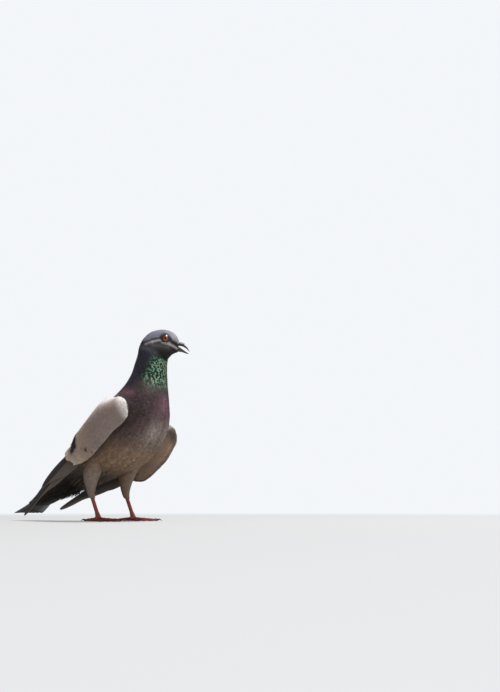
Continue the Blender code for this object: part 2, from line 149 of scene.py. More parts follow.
# The covert shield along the wing, its lower and upper edges as (l, b), and its faces' heights off the sheet.
SHIELD_FROM, SHIELD_TO = -8.0, 112.0
SHIELD_LOW = [(-8, 1), (-7, -3.5), (-4, -9), (0, -13.5), (12, -17), (31, -20.5), (51, -23.5), (68, -24.5),
              (84, -19), (98, -9), (112, -2)]
SHIELD_HIGH = [(-8, 3), (-7, 7), (-4, 12), (0, 17.5), (15, 27), (38, 30), (62, 25), (84, 13), (100, 6),
               (112, 2)]
SHIELD_OUTER = (4.5, 2.4)
SHIELD_INNER = (7.5, 0.0)
SHIELD_LIFT = 0.6
# Where along the wing its lower edge drops, and where it comes back.
DROP_ALONG = (2, 28, 62, 108)

# Rings of a thigh, from inside the body to the hock: middle (y, z), half width across, half depth.
THIGH = [
    ((8, 86), 8.0, 13.0),
    ((16, 75), 11.0, 14.5),
    ((23, 62), 10.8, 12.5),
    ((27, 49), 8.3, 9.2),
    ((27.5, 38), 5.6, 6.1),
    ((26.5, 30), 3.9, 4.2),
]
# The thigh's feathers hang over the top of the shank down to this ring.
THIGH_HEM = ((23.8, 24), 2.6, 3.0)
HOCK_Z = 30.0
HOCK_Y = THIGH[-1][0][0]
FOOT_Y = HOCK_Y - 11.0
SHANK_HALF = (1.9, 2.3)
LEGS = {"right": {"side": -1, "shift": 0.0}, "left": {"side": 1, "shift": -13.5}}
HIP_X = 25.0
FOOT_X = 24.0
FOOT_PAD_RADIUS = 5.4
FOOT_PAD_HEIGHT = 6.0
TOES = {
    "hind": {"angle": 172, "length": 15.5, "half_width": 1.55},
    "inner": {"angle": 38, "length": 19.5, "half_width": 1.6},
    "middle": {"angle": -4, "length": 27.0, "half_width": 1.75},
    "outer": {"angle": -44, "length": 19.0, "half_width": 1.6},
}
GAP = 0.3
CLAW_LENGTH = 6.5

# Skin below the hock is bare this near to a shank, and up to this Y of the row frame.
BARE_LEG_REACH = 45.0
BARE_LEG_REAR = 60.0
SKIN_VOXEL = 0.0006
SKIN_KEPT = 0.35
FLUFF_FEATHERS = 640

LIGHT_AIM = (0.0, 0.0, 0.12)
ROOM_LIGHT = (0.27, 0.25, 0.23)
BACKGROUND = (0.9, 0.92, 0.95)
FLOOR_HALF_SIZE = 30.0

CAMERA_PLACE = (-748.6, -548.5, 15.0)
CAMERA_FORWARD = (0.788, 0.616)
CAMERA_TURN = math.radians(10.899)
CAMERA_PITCH = math.radians(11.748)
CAMERA_LENS = 40.53
CAMERA_SENSOR = 36.0


# ---------------------------------------------------------------- shared geometry

def foot_shift():
    """From the sagittal frame to the row frame, found from where the right foot's pad stands."""
    low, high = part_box("foot_right")
    middle = (low + high) / 2
    return np.array([middle.x + FOOT_X * MM, middle.y - FOOT_Y * MM, low.z])


SHIFT = foot_shift()


def to_row(points):
    """Millimetres in the sagittal frame to metres in the row frame."""
    return np.asarray(points, float) * MM + SHIFT


def smoothstep(low, high, value):
    share = np.clip((np.asarray(value, float) - low) / (high - low), 0.0, 1.0)
    return share * share * (3 - 2 * share)


def mix(a, b, share):
    return a + (b - a) * share


def window(value, rise_from, rise_to, fall_from, fall_to, height=1.0):
    """A step up to height and back to 0."""
    return height * smoothstep(rise_from, rise_to, value) * (1 - smoothstep(fall_from, fall_to, value))


def blot(x, y, middle, reach, power=2):
    """1 at middle, falling to 0 beyond its reach; a high power gives it an edge."""
    return np.exp(-(((x - middle[0]) / reach[0]) ** power) - ((y - middle[1]) / reach[1]) ** power)


def stops_at(stops, place, column=1):
    """Numbers read off a table of stops, straight between them."""
    return np.interp(place, [s[0] for s in stops], [s[column] for s in stops])


def circle(count):
    """The angles of a ring's points, as one row."""
    return np.linspace(0, 2 * math.pi, count, endpoint=False)[None]


def lattice(rows, columns, v_from=0.0, v_to=1.0):
    """(v, u) of a form's grid points, rows along it and columns round it."""
    return np.meshgrid(np.linspace(v_from, v_to, rows), np.arange(columns) / columns, indexing="ij")


def search_tree(points):
    tree = KDTree(len(points))
    for i, place in enumerate(points):
        tree.insert(place, i)
    tree.balance()
    return tree


def smooth_rows(rows, places):
    """Rows of numbers at fractional places, on a smooth curve through them."""
    rows = np.asarray(rows, float)
    places = np.asarray(places, float)
    last = len(rows) - 1
    i = np.clip(np.floor(places).astype(int), 0, last - 1)
    t = (places - i)[..., None]
    p0, p1, p2, p3 = (rows[np.clip(i + k, 0, last)] for k in (-1, 0, 1, 2))
    curve = 2 * p1 + (p2 - p0) * t + (2 * p0 - 5 * p1 + 4 * p2 - p3) * t**2
    return 0.5 * (curve + (3 * p1 - p0 - 3 * p2 + p3) * t**3)


def round_points(angles, power):
    """Unit points (across, up) of a squarish circle at the given angles."""
    c, s = np.cos(angles), np.sin(angles)
    return np.sign(s) * np.abs(s) ** (2 / power), np.sign(c) * np.abs(c) ** (2 / power)


def turned(points, share=1.0):
    """Points after the head's turn about the neck, or a share of that turn."""
    points = np.asarray(points, float)
    angle = HEAD_TURN * np.asarray(share, float)
    x, y = points[..., 0], points[..., 1] - NECK_AXIS_Y
    return np.stack([
        x * np.cos(angle) - y * np.sin(angle),
        x * np.sin(angle) + y * np.cos(angle) + NECK_AXIS_Y,
        points[..., 2] + 0 * x,
    ], -1)


def slices(rows, places):
    """Middle, half-height vector and half width of the body form's slices at the places."""
    row = smooth_rows(rows, places)
    middle = np.stack([(row[..., 0] + row[..., 2]) / 2, (row[..., 1] + row[..., 3]) / 2], -1)
    up = np.stack([(row[..., 0] - row[..., 2]) / 2, (row[..., 1] - row[..., 3]) / 2], -1)
    return middle, up, row[..., 4]


def body_half_width(y, z):
    """How far the body form reaches to each side at (y, z) of the sagittal plane, or 0 outside it."""
    y, z = np.broadcast_arrays(np.asarray(y, float), np.asarray(z, float))
    low, high = np.zeros(y.shape), np.full(y.shape, float(NAMES.index("nape")))
    for _ in range(20):
        place = (low + high) / 2
        middle, up, half = slices(BODY_ROWS, place)
        off_y, off_z = y - middle[..., 0], z - middle[..., 1]
        ahead = up[..., 0] * off_z - up[..., 1] * off_y > 0
        low, high = np.where(ahead, place, low), np.where(ahead, high, place)
    height = np.abs(off_y * up[..., 0] + off_z * up[..., 1]) / (up**2).sum(-1)
    height = np.minimum(1.0, height)
    return half * (1 - height**BODY_SQUARENESS) ** (1 / BODY_SQUARENESS)


class Wing:
    """The curved sheet that a folded wing's feathers lie on, in millimetres: l along, b across, h off it."""

    def __init__(self, side, wrist, tip, bow, wrap, rise, drop, crest):
        self.side, self.bow, self.wrap, self.rise, self.drop, self.crest = side, bow, wrap, rise, drop, crest
        self.wrist, self.tip = np.array(wrist), np.array(tip)
        along = self.tip - self.wrist
        along /= np.linalg.norm(along)
        self.up = np.array([0, 0, 1.0]) - along * along[2]
        self.up /= np.linalg.norm(self.up)
        self.out = np.cross(self.up, along)
        if self.out[0] < 0:
            self.out = -self.out

    def point(self, l, b, h):
        l, b, h = (np.asarray(k, float)[..., None] for k in np.broadcast_arrays(l, b, h))
        share = l / WING_LENGTH
        axis = mix(self.wrist, self.tip, share) + np.array([1.0, 0, 0]) * 4 * self.bow * share * (1 - share)
        face = mix(*WING_FACE_B, smoothstep(10, 70, l))
        radius = mix(self.wrap, WING_TIP_WRAP, smoothstep(80, 140, l))
        roll = WING_TIP_ROLL * smoothstep(60, WING_LENGTH, l)
        turn = (b - face) / radius
        normal = self.out * np.cos(turn + roll) + self.up * np.sin(turn + roll)
        across = self.up * np.cos(roll) - self.out * np.sin(roll)
        inward = self.out * np.cos(roll) + self.up * np.sin(roll)
        sheet = across * np.sin(turn) - inward * (1 - np.cos(turn))
        place = axis + self.up * face + sheet * radius + normal * h
        clear = body_half_width(place[..., 1], place[..., 2]) + WING_CLEARANCE
        clear = clear + np.maximum(0.0, h[..., 0] - WING_LOWEST)
        place[..., 0] = np.maximum(place[..., 0], clear) * self.side
        return place

    def edges(self, l):
        """The covert shield's lower and upper edge at l; the wrist is round."""
        low, high = edge_at(SHIELD_LOW, l), edge_at(SHIELD_HIGH, l)
        return low - window(l, *DROP_ALONG, self.drop), high + window(l, 0, 20, 60, 105, self.rise)

    def swell(self, l, b):
        """How much fuller the coverts stand below the shield's upper edge."""
        low, high = self.edges(l)
        share = (b - low) / (high - low)
        full = window(share, 0.3, 0.68, 0.88, 1.05)
        return window(l, 5, 25, 68, 90, self.crest * full)


def edge_at(stops, l):
    """A height read from a smooth line through (l, height) stops."""
    spots = np.array([s[0] for s in stops], float)
    place = np.interp(l, spots, np.arange(len(stops)))
    return smooth_rows([[s[1]] for s in stops], place)[..., 0]


# ---------------------------------------------------------------- forms that feathers lie on

class Form:
    """A surface of closed rings, in metres. v runs along it with the lie of the coat, u runs round it."""

    def __init__(self, grid):
        self.grid = grid
        n, m = grid.shape[:2]
        self.along = np.gradient(grid, axis=0) * (n - 1)
        self.round = (np.roll(grid, -1, 1) - np.roll(grid, 1, 1)) * m / 2
        normal = np.cross(self.round, self.along)
        if np.sum(normal * (grid - grid.mean(1, keepdims=True))) < 0:
            normal = -normal
        self.normal = normal / np.maximum(np.linalg.norm(normal, axis=-1, keepdims=True), 1e-12)

    @staticmethod
    def look(table, v, u):
        n, m = table.shape[:2]
        x = np.clip(v, 0, 1) * (n - 1)
        i = np.minimum(x.astype(int), n - 2)
        y = (u % 1.0) * m
        j = np.minimum(y.astype(int), m - 1)
        a, b = (x - i)[..., None], (y - j)[..., None]
        k = (j + 1) % m
        near = table[i, j] * (1 - b) + table[i, k] * b
        far = table[i + 1, j] * (1 - b) + table[i + 1, k] * b
        return near * (1 - a) + far * a

    def point(self, v, u, height=0.0):
        """Points at (v, u), standing height metres off the surface."""
        height = np.asarray(height, float)
        return self.look(self.grid, v, u) + self.look(self.normal, v, u) * height[..., None]


def body_form():
    """The body from the bill, v 0, to the end of the tail coverts, v 1; u is 0 on the back."""
    v = np.linspace(0, 1, 520)[:, None]
    middle, up, half = slices(COAT_ROWS, (1 - v) * (len(COAT_ROWS) - 1))
    across, upward = round_points(circle(240), BODY_SQUARENESS)
    x = across * half
    y = middle[..., 0] + up[..., 0] * upward
    z = middle[..., 1] + up[..., 1] * upward
    points = np.stack([x, y, z], -1)
    return Form(to_row(turned(points, smoothstep(TWIST_FROM_Z, TWIST_TO_Z, middle[..., 1] + 0 * x))))


def station(v):
    """The fractional index among BODY_STATIONS at v of the body form."""
    return (1 - v) * (len(COAT_ROWS) - 1) - len(COAT_END_STATIONS)


def at_station(place):
    return 1 - (place + len(COAT_END_STATIONS)) / (len(COAT_ROWS) - 1)


def from_front(u):
    """How far u is turned from the front, 0, towards the back, 0.5."""
    return np.abs((u % 1.0) - 0.5)


def on_back(u):
    """1 on the back, 0 in front."""
    return 0.5 + 0.5 * np.cos(2 * math.pi * u)


def thigh_form(side, shift, hem=False):
    """A thigh from inside the body, v 0, to the hock, or to its feathers' hem, v 1."""
    rows = [[y, z, across, deep] for (y, z), across, deep in THIGH + [THIGH_HEM] * hem]
    rows = smooth_rows(rows, np.linspace(0, len(rows) - 1, 120))
    angles = circle(72)
    x_mid = side * mix(FOOT_X, HIP_X, smoothstep(HOCK_Z, 70, rows[:, 1]))[:, None]
    x = x_mid + rows[:, 2:3] * np.sin(angles)
    y = rows[:, 0:1] + shift + rows[:, 3:4] * np.cos(angles)
    return Form(to_row(np.stack([x, y, rows[:, 1:2] + 0 * x], -1)))


def shield_l(v):
    """l at v along the shield's form, whose rings are closer at the wrist."""
    return mix(SHIELD_FROM, SHIELD_TO, 0.55 * v**2 + 0.45 * v)


def shield_form(wing, thin=0.0):
    """A wing's covert shield from the wrist, v 0, to its rear end; u under 0.5 is the outer face, from its
    lower edge up."""
    l = shield_l(np.linspace(0, 1, 160)[:, None])
    low, high = wing.edges(l)
    rear = smoothstep(28, 82, l)
    nose = np.clip((l - SHIELD_FROM) / 17, 0.004, 1)
    fullness = np.sqrt(1 - (1 - nose) ** 2)
    outer = (mix(*SHIELD_OUTER, rear) - thin) * fullness
    inner = np.maximum(0.05, mix(*SHIELD_INNER, rear) - thin) * fullness
    share = np.linspace(0, 1, 60)[None, :]
    margin = thin * 0.8 * (1 - 2 * share)
    b = mix(low, high, share) + margin
    face = wing.point(l, b, SHIELD_LIFT + outer * np.sin(math.pi * share) ** 0.55 + wing.swell(l, b))
    back = wing.point(l, b, -inner * np.sin(math.pi * share**0.7) ** 0.8)
    return Form(to_row(np.concatenate([face, back[:, ::-1]], 1)))


# ---------------------------------------------------------------- feathers

def scatter(form, spacing, rng, wanted=None):
    """Roots (v, u) spread over a form, no two nearer than spacing(v, u) in millimetres."""
    n, m = form.grid.shape[:2]
    v, u = np.meshgrid((np.arange(n - 1) + 0.5) / (n - 1), (np.arange(m) + 0.5) / m, indexing="ij")
    cell = np.linalg.norm(np.cross(form.look(form.along, v, u), form.look(form.round, v, u)), axis=-1)
    cell /= (n - 1) * m
    weight = cell / (spacing(v, u) * MM) ** 2
    if wanted is not None:
        weight = weight * wanted(v, u)
    chance = np.cumsum(weight.ravel())
    tries = int(chance[-1] * 6) + 16
    pick = np.searchsorted(chance, rng.random(tries) * chance[-1])
    pick = np.minimum(pick, weight.size - 1)
    v = (pick // m + rng.random(tries)) / (n - 1)
    u = (pick % m + rng.random(tries)) / m
    points, reach = form.point(v, u), spacing(v, u) * MM
    tree = search_tree(points)
    free, kept = np.ones(tries, bool), []
    for i in range(tries):
        if not free[i]:
            continue
        kept.append(i)
        for _, j, _ in tree.find_range(points[i], reach[i]):
            free[j] = False
    return v[kept], u[kept]


ROUND_TIP = {"root": 0.45, "full": 0.45, "close": 0.5, "blunt": 0.07}
HACKLE_TIP = {"root": 0.5, "full": 0.35, "close": 0.32, "blunt": 0.05}
LOBE_TIP = {"root": 0.5, "full": 0.35, "close": 0.72, "blunt": 0.02, "end": 0.12}
LONG_TIP = {"root": 0.6, "full": 0.3, "close": 0.5, "blunt": 0.0}
TAIL_END = {"root": 0.7, "full": 0.4, "close": 0.93, "blunt": 0.02, "end": 0.6}


def rows_along(steps):
    """Places along a feather, closer together towards its tip."""
    return 1 - (1 - np.linspace(0, 1, steps)[:, None]) ** 1.8


def outline(t, s, shape):
    """Where a feather's grid point lies, as shares of its length and half width."""
    along = t * (1 - shape["blunt"] * s * s * t)
    closing = np.clip((t - shape["close"]) / (1 - shape["close"]), 0, 1)
    end = np.sqrt(1 - (1 - shape.get("end", 0.07)) * closing**2.2)
    width = mix(shape["root"], 1.0, smoothstep(0, shape["full"], t)) * end
    return along, s * width


def each(values):
    """One value for each feather, spread over its grid."""
    return np.asarray(values)[:, None, None]


def feather_grid(length, width, rng, shape, steps, columns, ruffle):
    """t and s of feathers' grid points, and how far along and to the side of each feather's root they lie."""
    t = rows_along(steps)
    s = np.linspace(-1, 1, columns)[None, :]
    along, across = outline(t, s, shape)
    edge = 1 + ruffle * rng.standard_normal((len(length), steps, columns)) * (np.abs(s) > 0.9)
    far = (along * np.ones_like(s))[None] * each(length)
    return t[None] + 0 * far, s[None] + 0 * far, far, across[None] * edge * each(width / 2)


def arched(top, t, s):
    """The height that a feather's vane arches to, top at its shaft and nothing at its edges."""
    return top * (1 - s * s) * (0.3 + 0.7 * np.sin(math.pi * np.minimum(t, 0.9)))


def lay_feathers(form, v, u, length, width, root, tip, rng, swing, camber, steps, columns=5,
                 shape=ROUND_TIP, ruffle=0.05, lift_power=0.8):
    """Feather grids on a form; length, width, root and tip heights are in millimetres."""
    t, s, far, wide = feather_grid(length * MM, width * MM, rng, shape, steps, columns, ruffle)
    flow, side, normal = (form.look(table, v, u) for table in (form.along, form.round, form.normal))
    ahead = flow / np.maximum(np.linalg.norm(flow, axis=-1, keepdims=True), 1e-12)
    beside = np.cross(normal, ahead)
    heading = ahead * np.cos(swing)[:, None] + beside * np.sin(swing)[:, None]
    ff, fs, ss = (flow * flow).sum(-1), (flow * side).sum(-1), (side * side).sum(-1)
    spread = np.maximum(ff * ss - fs * fs, 1e-14)

    def steps_for(direction):
        df, ds = (direction * flow).sum(-1), (direction * side).sum(-1)
        return each((df * ss - ds * fs) / spread), each((ds * ff - df * fs) / spread)

    along_v, along_u = steps_for(heading)
    across_v, across_u = steps_for(np.cross(normal, heading))
    at_v = each(v) + far * along_v + wide * across_v
    at_u = each(u) + far * along_u + wide * across_u
    height = mix(each(root), each(tip), t**lift_power) + arched(camber * each(width), t, s)
    return {"points": form.point(at_v, at_u, height * MM), "v": at_v, "u": at_u, "t": t, "s": s,
            "map": np.stack([u % 1.0, v], -1)}


def face_starts(sizes):
    """Where each face's corners begin among all faces' corners."""
    return np.concatenate([[0], np.cumsum(sizes)[:-1]])


def new_object(name, data):
    made = bpy.data.objects.new(name, data)
    bpy.context.scene.collection.objects.link(made)
    return made


def set_values(mesh, name, kind, field, values):
    """A named value for each of a mesh's vertices."""
    made = mesh.attributes.new(name, kind, "POINT")
    made.data.foreach_set(field, values.astype(np.float32).ravel())


def build_mesh(name, points, faces_at, face_sizes):
    mesh = bpy.data.meshes.new(name)
    mesh.vertices.add(len(points))
    mesh.vertices.foreach_set("co", np.ascontiguousarray(points, np.float32).ravel())
    mesh.loops.add(len(faces_at))
    mesh.loops.foreach_set("vertex_index", np.ascontiguousarray(faces_at, np.int32))
    mesh.polygons.add(len(face_sizes))
    mesh.polygons.foreach_set("loop_start", face_starts(face_sizes).astype(np.int32))
    mesh.update(calc_edges=True)
    return mesh


def grid_faces(count, rows, columns):
    """Faces of closed thin bodies whose upper sides are rows x columns grids, one grid after another."""
    at = np.arange(rows * columns).reshape(rows, columns)
    top = np.stack([at[:-1, :-1], at[1:, :-1], at[1:, 1:], at[:-1, 1:]], -1).reshape(-1, 4)
    under = np.stack([at[:-1, 0], at[:-1, -1], at[1:, -1], at[1:, 0]], -1)
    quads = np.concatenate([top, under]).ravel()
    ends = np.concatenate([at[0], at[-1][::-1]])
    one = np.concatenate([quads, ends])
    sizes = [4] * (len(quads) // 4) + [columns, columns]
    offsets = (np.arange(count) * rows * columns)[:, None]
    return (one[None] + offsets).ravel(), np.tile(sizes, count)


def block_arrays(block, patch):
    """A block's corners, face sizes, points, tints with gloss, places on the vane and on the bake map."""
    loops, sizes = grid_faces(*block["t"].shape)
    if block.get("mirror"):
        loops = mirrored(loops, sizes)
    tint = np.concatenate([block["tint"], block["gloss"][..., None]], -1)
    chance = np.broadcast_to(each(block["chance"]), block["t"].shape)
    vane = np.stack([block["s"] * 0.5 + 0.5, block["t"], chance], -1)
    local = np.stack([block["s"] * patch, (block["t"] - 0.5) * 2 * patch], -1)
    spot = block["map"][:, None, None, :] + local
    flat = [k.reshape(-1, k.shape[-1]) for k in (block["points"], tint, vane, spot)]
    return loops, sizes, *flat


def feather_piece(name, blocks, material, patch=0.0015):
    """One mesh of many feathers. Each block holds grids of points, colours, and places for the bake map."""
    parts = [block_arrays(block, patch) for block in blocks]
    first = np.cumsum([0] + [len(part[2]) for part in parts])
    loops = np.concatenate([part[0] + start for part, start in zip(parts, first)])
    sizes, points, tints, vanes, maps = (np.concatenate(k) for k in list(zip(*parts))[1:])
    mesh = build_mesh(name, points, loops, sizes)
    set_values(mesh, "tint", "FLOAT_COLOR", "color", tints)
    set_values(mesh, "vane", "FLOAT_VECTOR", "vector", vanes)
    uv = mesh.uv_layers.new(name="OFBake")
    uv.data.foreach_set("uv", np.clip(maps, 0.001, 0.999)[loops].astype(np.float32).ravel())
    mesh.shade_smooth()
    mesh.set_sharp_from_angle(angle=math.radians(70))
    mesh.materials.append(material)
    piece = new_object(name, mesh)
    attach(piece, "root")
    return piece


def mirrored(loops, sizes):
    """The same faces wound the other way."""
    out = loops.copy()
    start = face_starts(sizes)
    for size in np.unique(sizes):
        rows = start[sizes == size][:, None] + np.arange(size)[None]
        out[rows] = loops[rows[:, ::-1]]
    return out


# ---------------------------------------------------------------- markings, shared by skin and coat

# Linear RGB.
CROWN = (0.21, 0.206, 0.272)
FOREHEAD = (0.36, 0.37, 0.42)
FACE = (0.019, 0.017, 0.02)
CHEEK_STREAK = (0.52, 0.47, 0.435)
CHEEK_GREY = (0.125, 0.128, 0.132)
BREAST_ASH_AND_LIGHT = (0.34, 0.285, 0.26)
SHADE_BESIDE_WING = (0.05, 0.036, 0.034)
NECK_PINK_SHEEN = (0.3, 0.16, 0.2)
LORE_DARK = (0.012, 0.01, 0.011)
THROAT = (0.022, 0.022, 0.021)
NECK_GREEN = (0.014, 0.028, 0.02)
NECK_VIOLET = (0.05, 0.044, 0.078)
NECK_PURPLE = (0.075, 0.047, 0.055)
NECK_ASH = (0.1, 0.092, 0.085)
BREAST = (0.142, 0.092, 0.093)
BREAST_LOW = (0.142, 0.103, 0.083)
BELLY = (0.22, 0.142, 0.092)
VENT = (0.085, 0.065, 0.048)
UNDERTAIL = (0.02, 0.017, 0.013)
MANTLE = (0.23, 0.22, 0.225)
RUMP = (0.36, 0.35, 0.35)
UPPERTAIL = (0.16, 0.16, 0.17)
GLINT_GREEN = (0.17, 0.55, 0.3)
GLINT_MINT = (0.6, 0.88, 0.67)
GLINT_PURPLE = (0.34, 0.16, 0.25)
SHIELD_GREY = (0.305, 0.24, 0.222)
SHIELD_WHITE = (0.82, 0.785, 0.76)
SHIELD_REAR = (0.4, 0.3, 0.235)
COVERT_TIP = (0.52, 0.44, 0.37)
BAR_BLACK = (0.022, 0.02, 0.028)
UNDERWING = (0.46, 0.33, 0.25)
# Painted shade for the wing's inner face.
UNDERWING_SHADE = (0.06, 0.05, 0.045)
FLIGHT = (0.042, 0.036, 0.032)
FLIGHT_EDGE = (0.2, 0.165, 0.14)
TAIL_GREY = (0.085, 0.083, 0.09)
TAIL_BAND = (0.03, 0.028, 0.032)
THIGH_GREY = (0.25, 0.2, 0.17)
INNER_WEB = (0.05, 0.044, 0.044)
LEG_RED = (0.36, 0.085, 0.07)
LID_GREY = (0.05, 0.04, 0.037)

# Colours from the tail to the bill, as (station, colour), on the front and on the back of the body.
FRONT_COLOURS = [
    (-2, UNDERTAIL), (1.9, UNDERTAIL), (3.3, VENT), (4.6, BELLY), (5.6, BELLY), (6.4, BREAST_LOW),
    (7.4, BREAST), (8.4, NECK_PURPLE), (9.1, NECK_PURPLE), (9.6, NECK_ASH), (10.3, NECK_ASH),
    (10.8, NECK_GREEN), (13.0, NECK_GREEN), (13.4, THROAT), (15.0, FACE), (22, FACE),
]
BACK_COLOURS = [
    (-2, UPPERTAIL), (0.5, UPPERTAIL), (1.8, RUMP), (3.2, RUMP), (4.4, MANTLE), (8.2, MANTLE),
    (9.0, NECK_PURPLE), (10.0, NECK_VIOLET), (13.4, NECK_VIOLET), (14.6, CROWN), (18.0, CROWN),
    (19.6, FOREHEAD), (22, FOREHEAD),
]
# Soft patches on both sides: colour, station and its reach, turn from the front and its reach, strength.
PATCHES = [
    # A pale band down the breast's front, partly its own ash tone and partly painted light.
    (BREAST_ASH_AND_LIGHT, 7.05, 0.75, 0.045, 0.045, 0.95),
    # Painted shade: dark patches on the breast and flank beside the wing.
    (SHADE_BESIDE_WING, 8.1, 0.8, 0.17, 0.08, 0.9),
    (SHADE_BESIDE_WING, 7.0, 1.2, 0.2, 0.08, 0.85),
    (SHADE_BESIDE_WING, 5.4, 1.6, 0.25, 0.07, 0.6),
    # Painted sheen: pink flashes of the iridescent neck base.
    (NECK_PINK_SHEEN, 8.9, 0.7, 0.0, 0.05, 0.7),
    (NECK_PINK_SHEEN, 9.1, 0.3, 0.28, 0.05, 0.7),
]
CAP_COLOURS = [(-68, FOREHEAD), (-60, FOREHEAD), (-50, CROWN), (-20, CROWN)]
# Streaks in the head's side view: two ends (y, z), half width, strength.
DARK_STREAKS = [((-46.5, 209.4), (-36, 207.6), 1.0, 1.0), ((-56.2, 208.2), (-67.5, 201.3), 2.0, 1.0)]
PALE_STREAKS = [((-46, 206.4), (-37, 204.4), 1.3, 1.0), ((-37, 204.4), (-29, 201.5), 1.6, 0.6),
                ((-49, 203.4), (-56.5, 202.4), 1.3, 1.3), ((-56.5, 202.2), (-66, 197.8), 1.4, 1.1)]
CHEEK_STREAKS = [((-38, 200.6), (-55, 198.6), 3.4, 1.0)]
# How much higher the painted shade under a wing reaches where the wing's lower edge drops.
UNDERWING_SHADE_RISE = 6.0
# Dark spots on the coverts: l, b, reach along and across, strength.
WING_SPOTS = [(63, -12.3, 2.0, 1.8, 1.3), (66.5, -8.0, 1.6, 1.4, 0.5), (59, -18.5, 1.6, 1.6, 0.5),
              (49, -20, 1.6, 1.4, 0.35)]


def ramp(stops, place):
    """Colours at places, straight between (place, colour) stops."""
    spots = [s[0] for s in stops]
    return np.stack([np.interp(place, spots, [s[1][k] for s in stops]) for k in range(3)], -1)


def painted(colour, paint, share):
    """colour covered with paint by a share of 0 to 1."""
    return mix(colour, np.asarray(paint, float), np.clip(share, 0, 1)[..., None])


def plain(colour, block):
    """One colour for every point of a block."""
    return np.broadcast_to(np.array(colour), (*block["t"].shape, 3))


def streaks(points, table, base=0):
    """base and the strength of a table's streaks, which fade out beyond their width."""
    spots = points[..., 1:]
    for start, end, width, strength in table:
        start = np.array(start, float)
        line = np.array(end, float) - start
        share = np.clip(((spots - start) @ line) / (line @ line), 0, 1)
        gap = np.linalg.norm(spots - start - share[..., None] * line, axis=-1)
        base = base + strength * np.exp(-((gap / width) ** 2))
    return base


def head_frame(points):
    """Points of the row frame in the head's own, unturned frame, in millimetres."""
    return turned((points - SHIFT) / MM, -1.0)


def eye_distance(points):
    """Millimetres from the nearer eye's middle in the head's side view, and how far behind and above it."""
    spot = head_frame(points)
    off_y, off_z = spot[..., 1] - EYE_CENTRE[1], spot[..., 2] - EYE_CENTRE[2]
    beside = np.abs(spot[..., 0]) > 4
    return np.where(beside, np.hypot(off_y, off_z), 99.0), off_y, off_z


def body_marks(form, v, u):
    """Colour and gloss of skin and coat on the body."""
    place = station(v)
    back = smoothstep(0.3, 0.72, on_back(u))
    colour = mix(ramp(FRONT_COLOURS, place), ramp(BACK_COLOURS, place), back[..., None])
    turn = from_front(u)
    for paint, middle, reach, side, width, share in PATCHES:
        colour = painted(colour, paint, share * blot(place, turn, (middle, side), (reach, width)))
    ripple = sum(np.sin(2 * math.pi * k * u + a * v + k) for k, a in ((17, 9), (29, -13), (43, 7))) / 3
    below = window(place, 2.5, 4, 8.5, 9.5) * (1 - back)
    colour = colour * np.exp(0.2 * ripple * below)[..., None]
    points = form.point(v, u)
    spot = head_frame(points)
    on_head = smoothstep(13.6, 14.6, place)
    y, z = spot[..., 1], spot[..., 2]
    crown_line = 206.5 + 0.10 * (y + 52) - 3.0 * smoothstep(-40, -28, y)
    cap = smoothstep(-1.6, 1.6, z - crown_line) * on_head
    colour = painted(colour, FACE, on_head * (1 - smoothstep(15.6, 16.2, place)))
    colour = mix(colour, ramp(CAP_COLOURS, y), cap[..., None])
    near, behind, over = eye_distance(points)
    # Painted shade: a dark band over the eye, cast by the brow, weaker in front of the eye.
    brow_shade = np.exp(-(((near - EYE_RADIUS) / 1.4) ** 2)) * smoothstep(-3.5, 0.5, over)
    brow_shade = brow_shade * (0.55 + 0.5 * smoothstep(-3.0, 1.0, behind))
    on_side = on_head * smoothstep(2.0, 6.5, np.abs(spot[..., 0]))
    colour = painted(colour, CHEEK_GREY, 0.75 * on_side * streaks(spot, CHEEK_STREAKS))
    colour = painted(colour, CHEEK_STREAK, 0.95 * on_side * streaks(spot, PALE_STREAKS))
    colour = painted(colour, LORE_DARK, streaks(spot, DARK_STREAKS, brow_shade) * on_head * 0.9)
    return colour, window(place, 8.0, 10.0, 13.6, 14.6)


def neck_sheen(v, u):
    """How strongly the neck's feathers flash green, and how strongly purple, at a place."""
    place = station(v)
    degrees = from_front(u) * 360
    reach = 8 * (1 - smoothstep(10.2, 11.4, place))
    front = (1 - smoothstep(62, 100, degrees - reach)) * (1 - 0.3 * smoothstep(15, 60, degrees))
    rise = 0.5 * smoothstep(40, 100, degrees)
    green = smoothstep(9.8, 10.6, place - rise) * (1 - smoothstep(13.2, 13.7, place)) * (0.04 + 0.96 * front)
    return green, window(place, 7.4, 8.6, 9.8, 10.6)


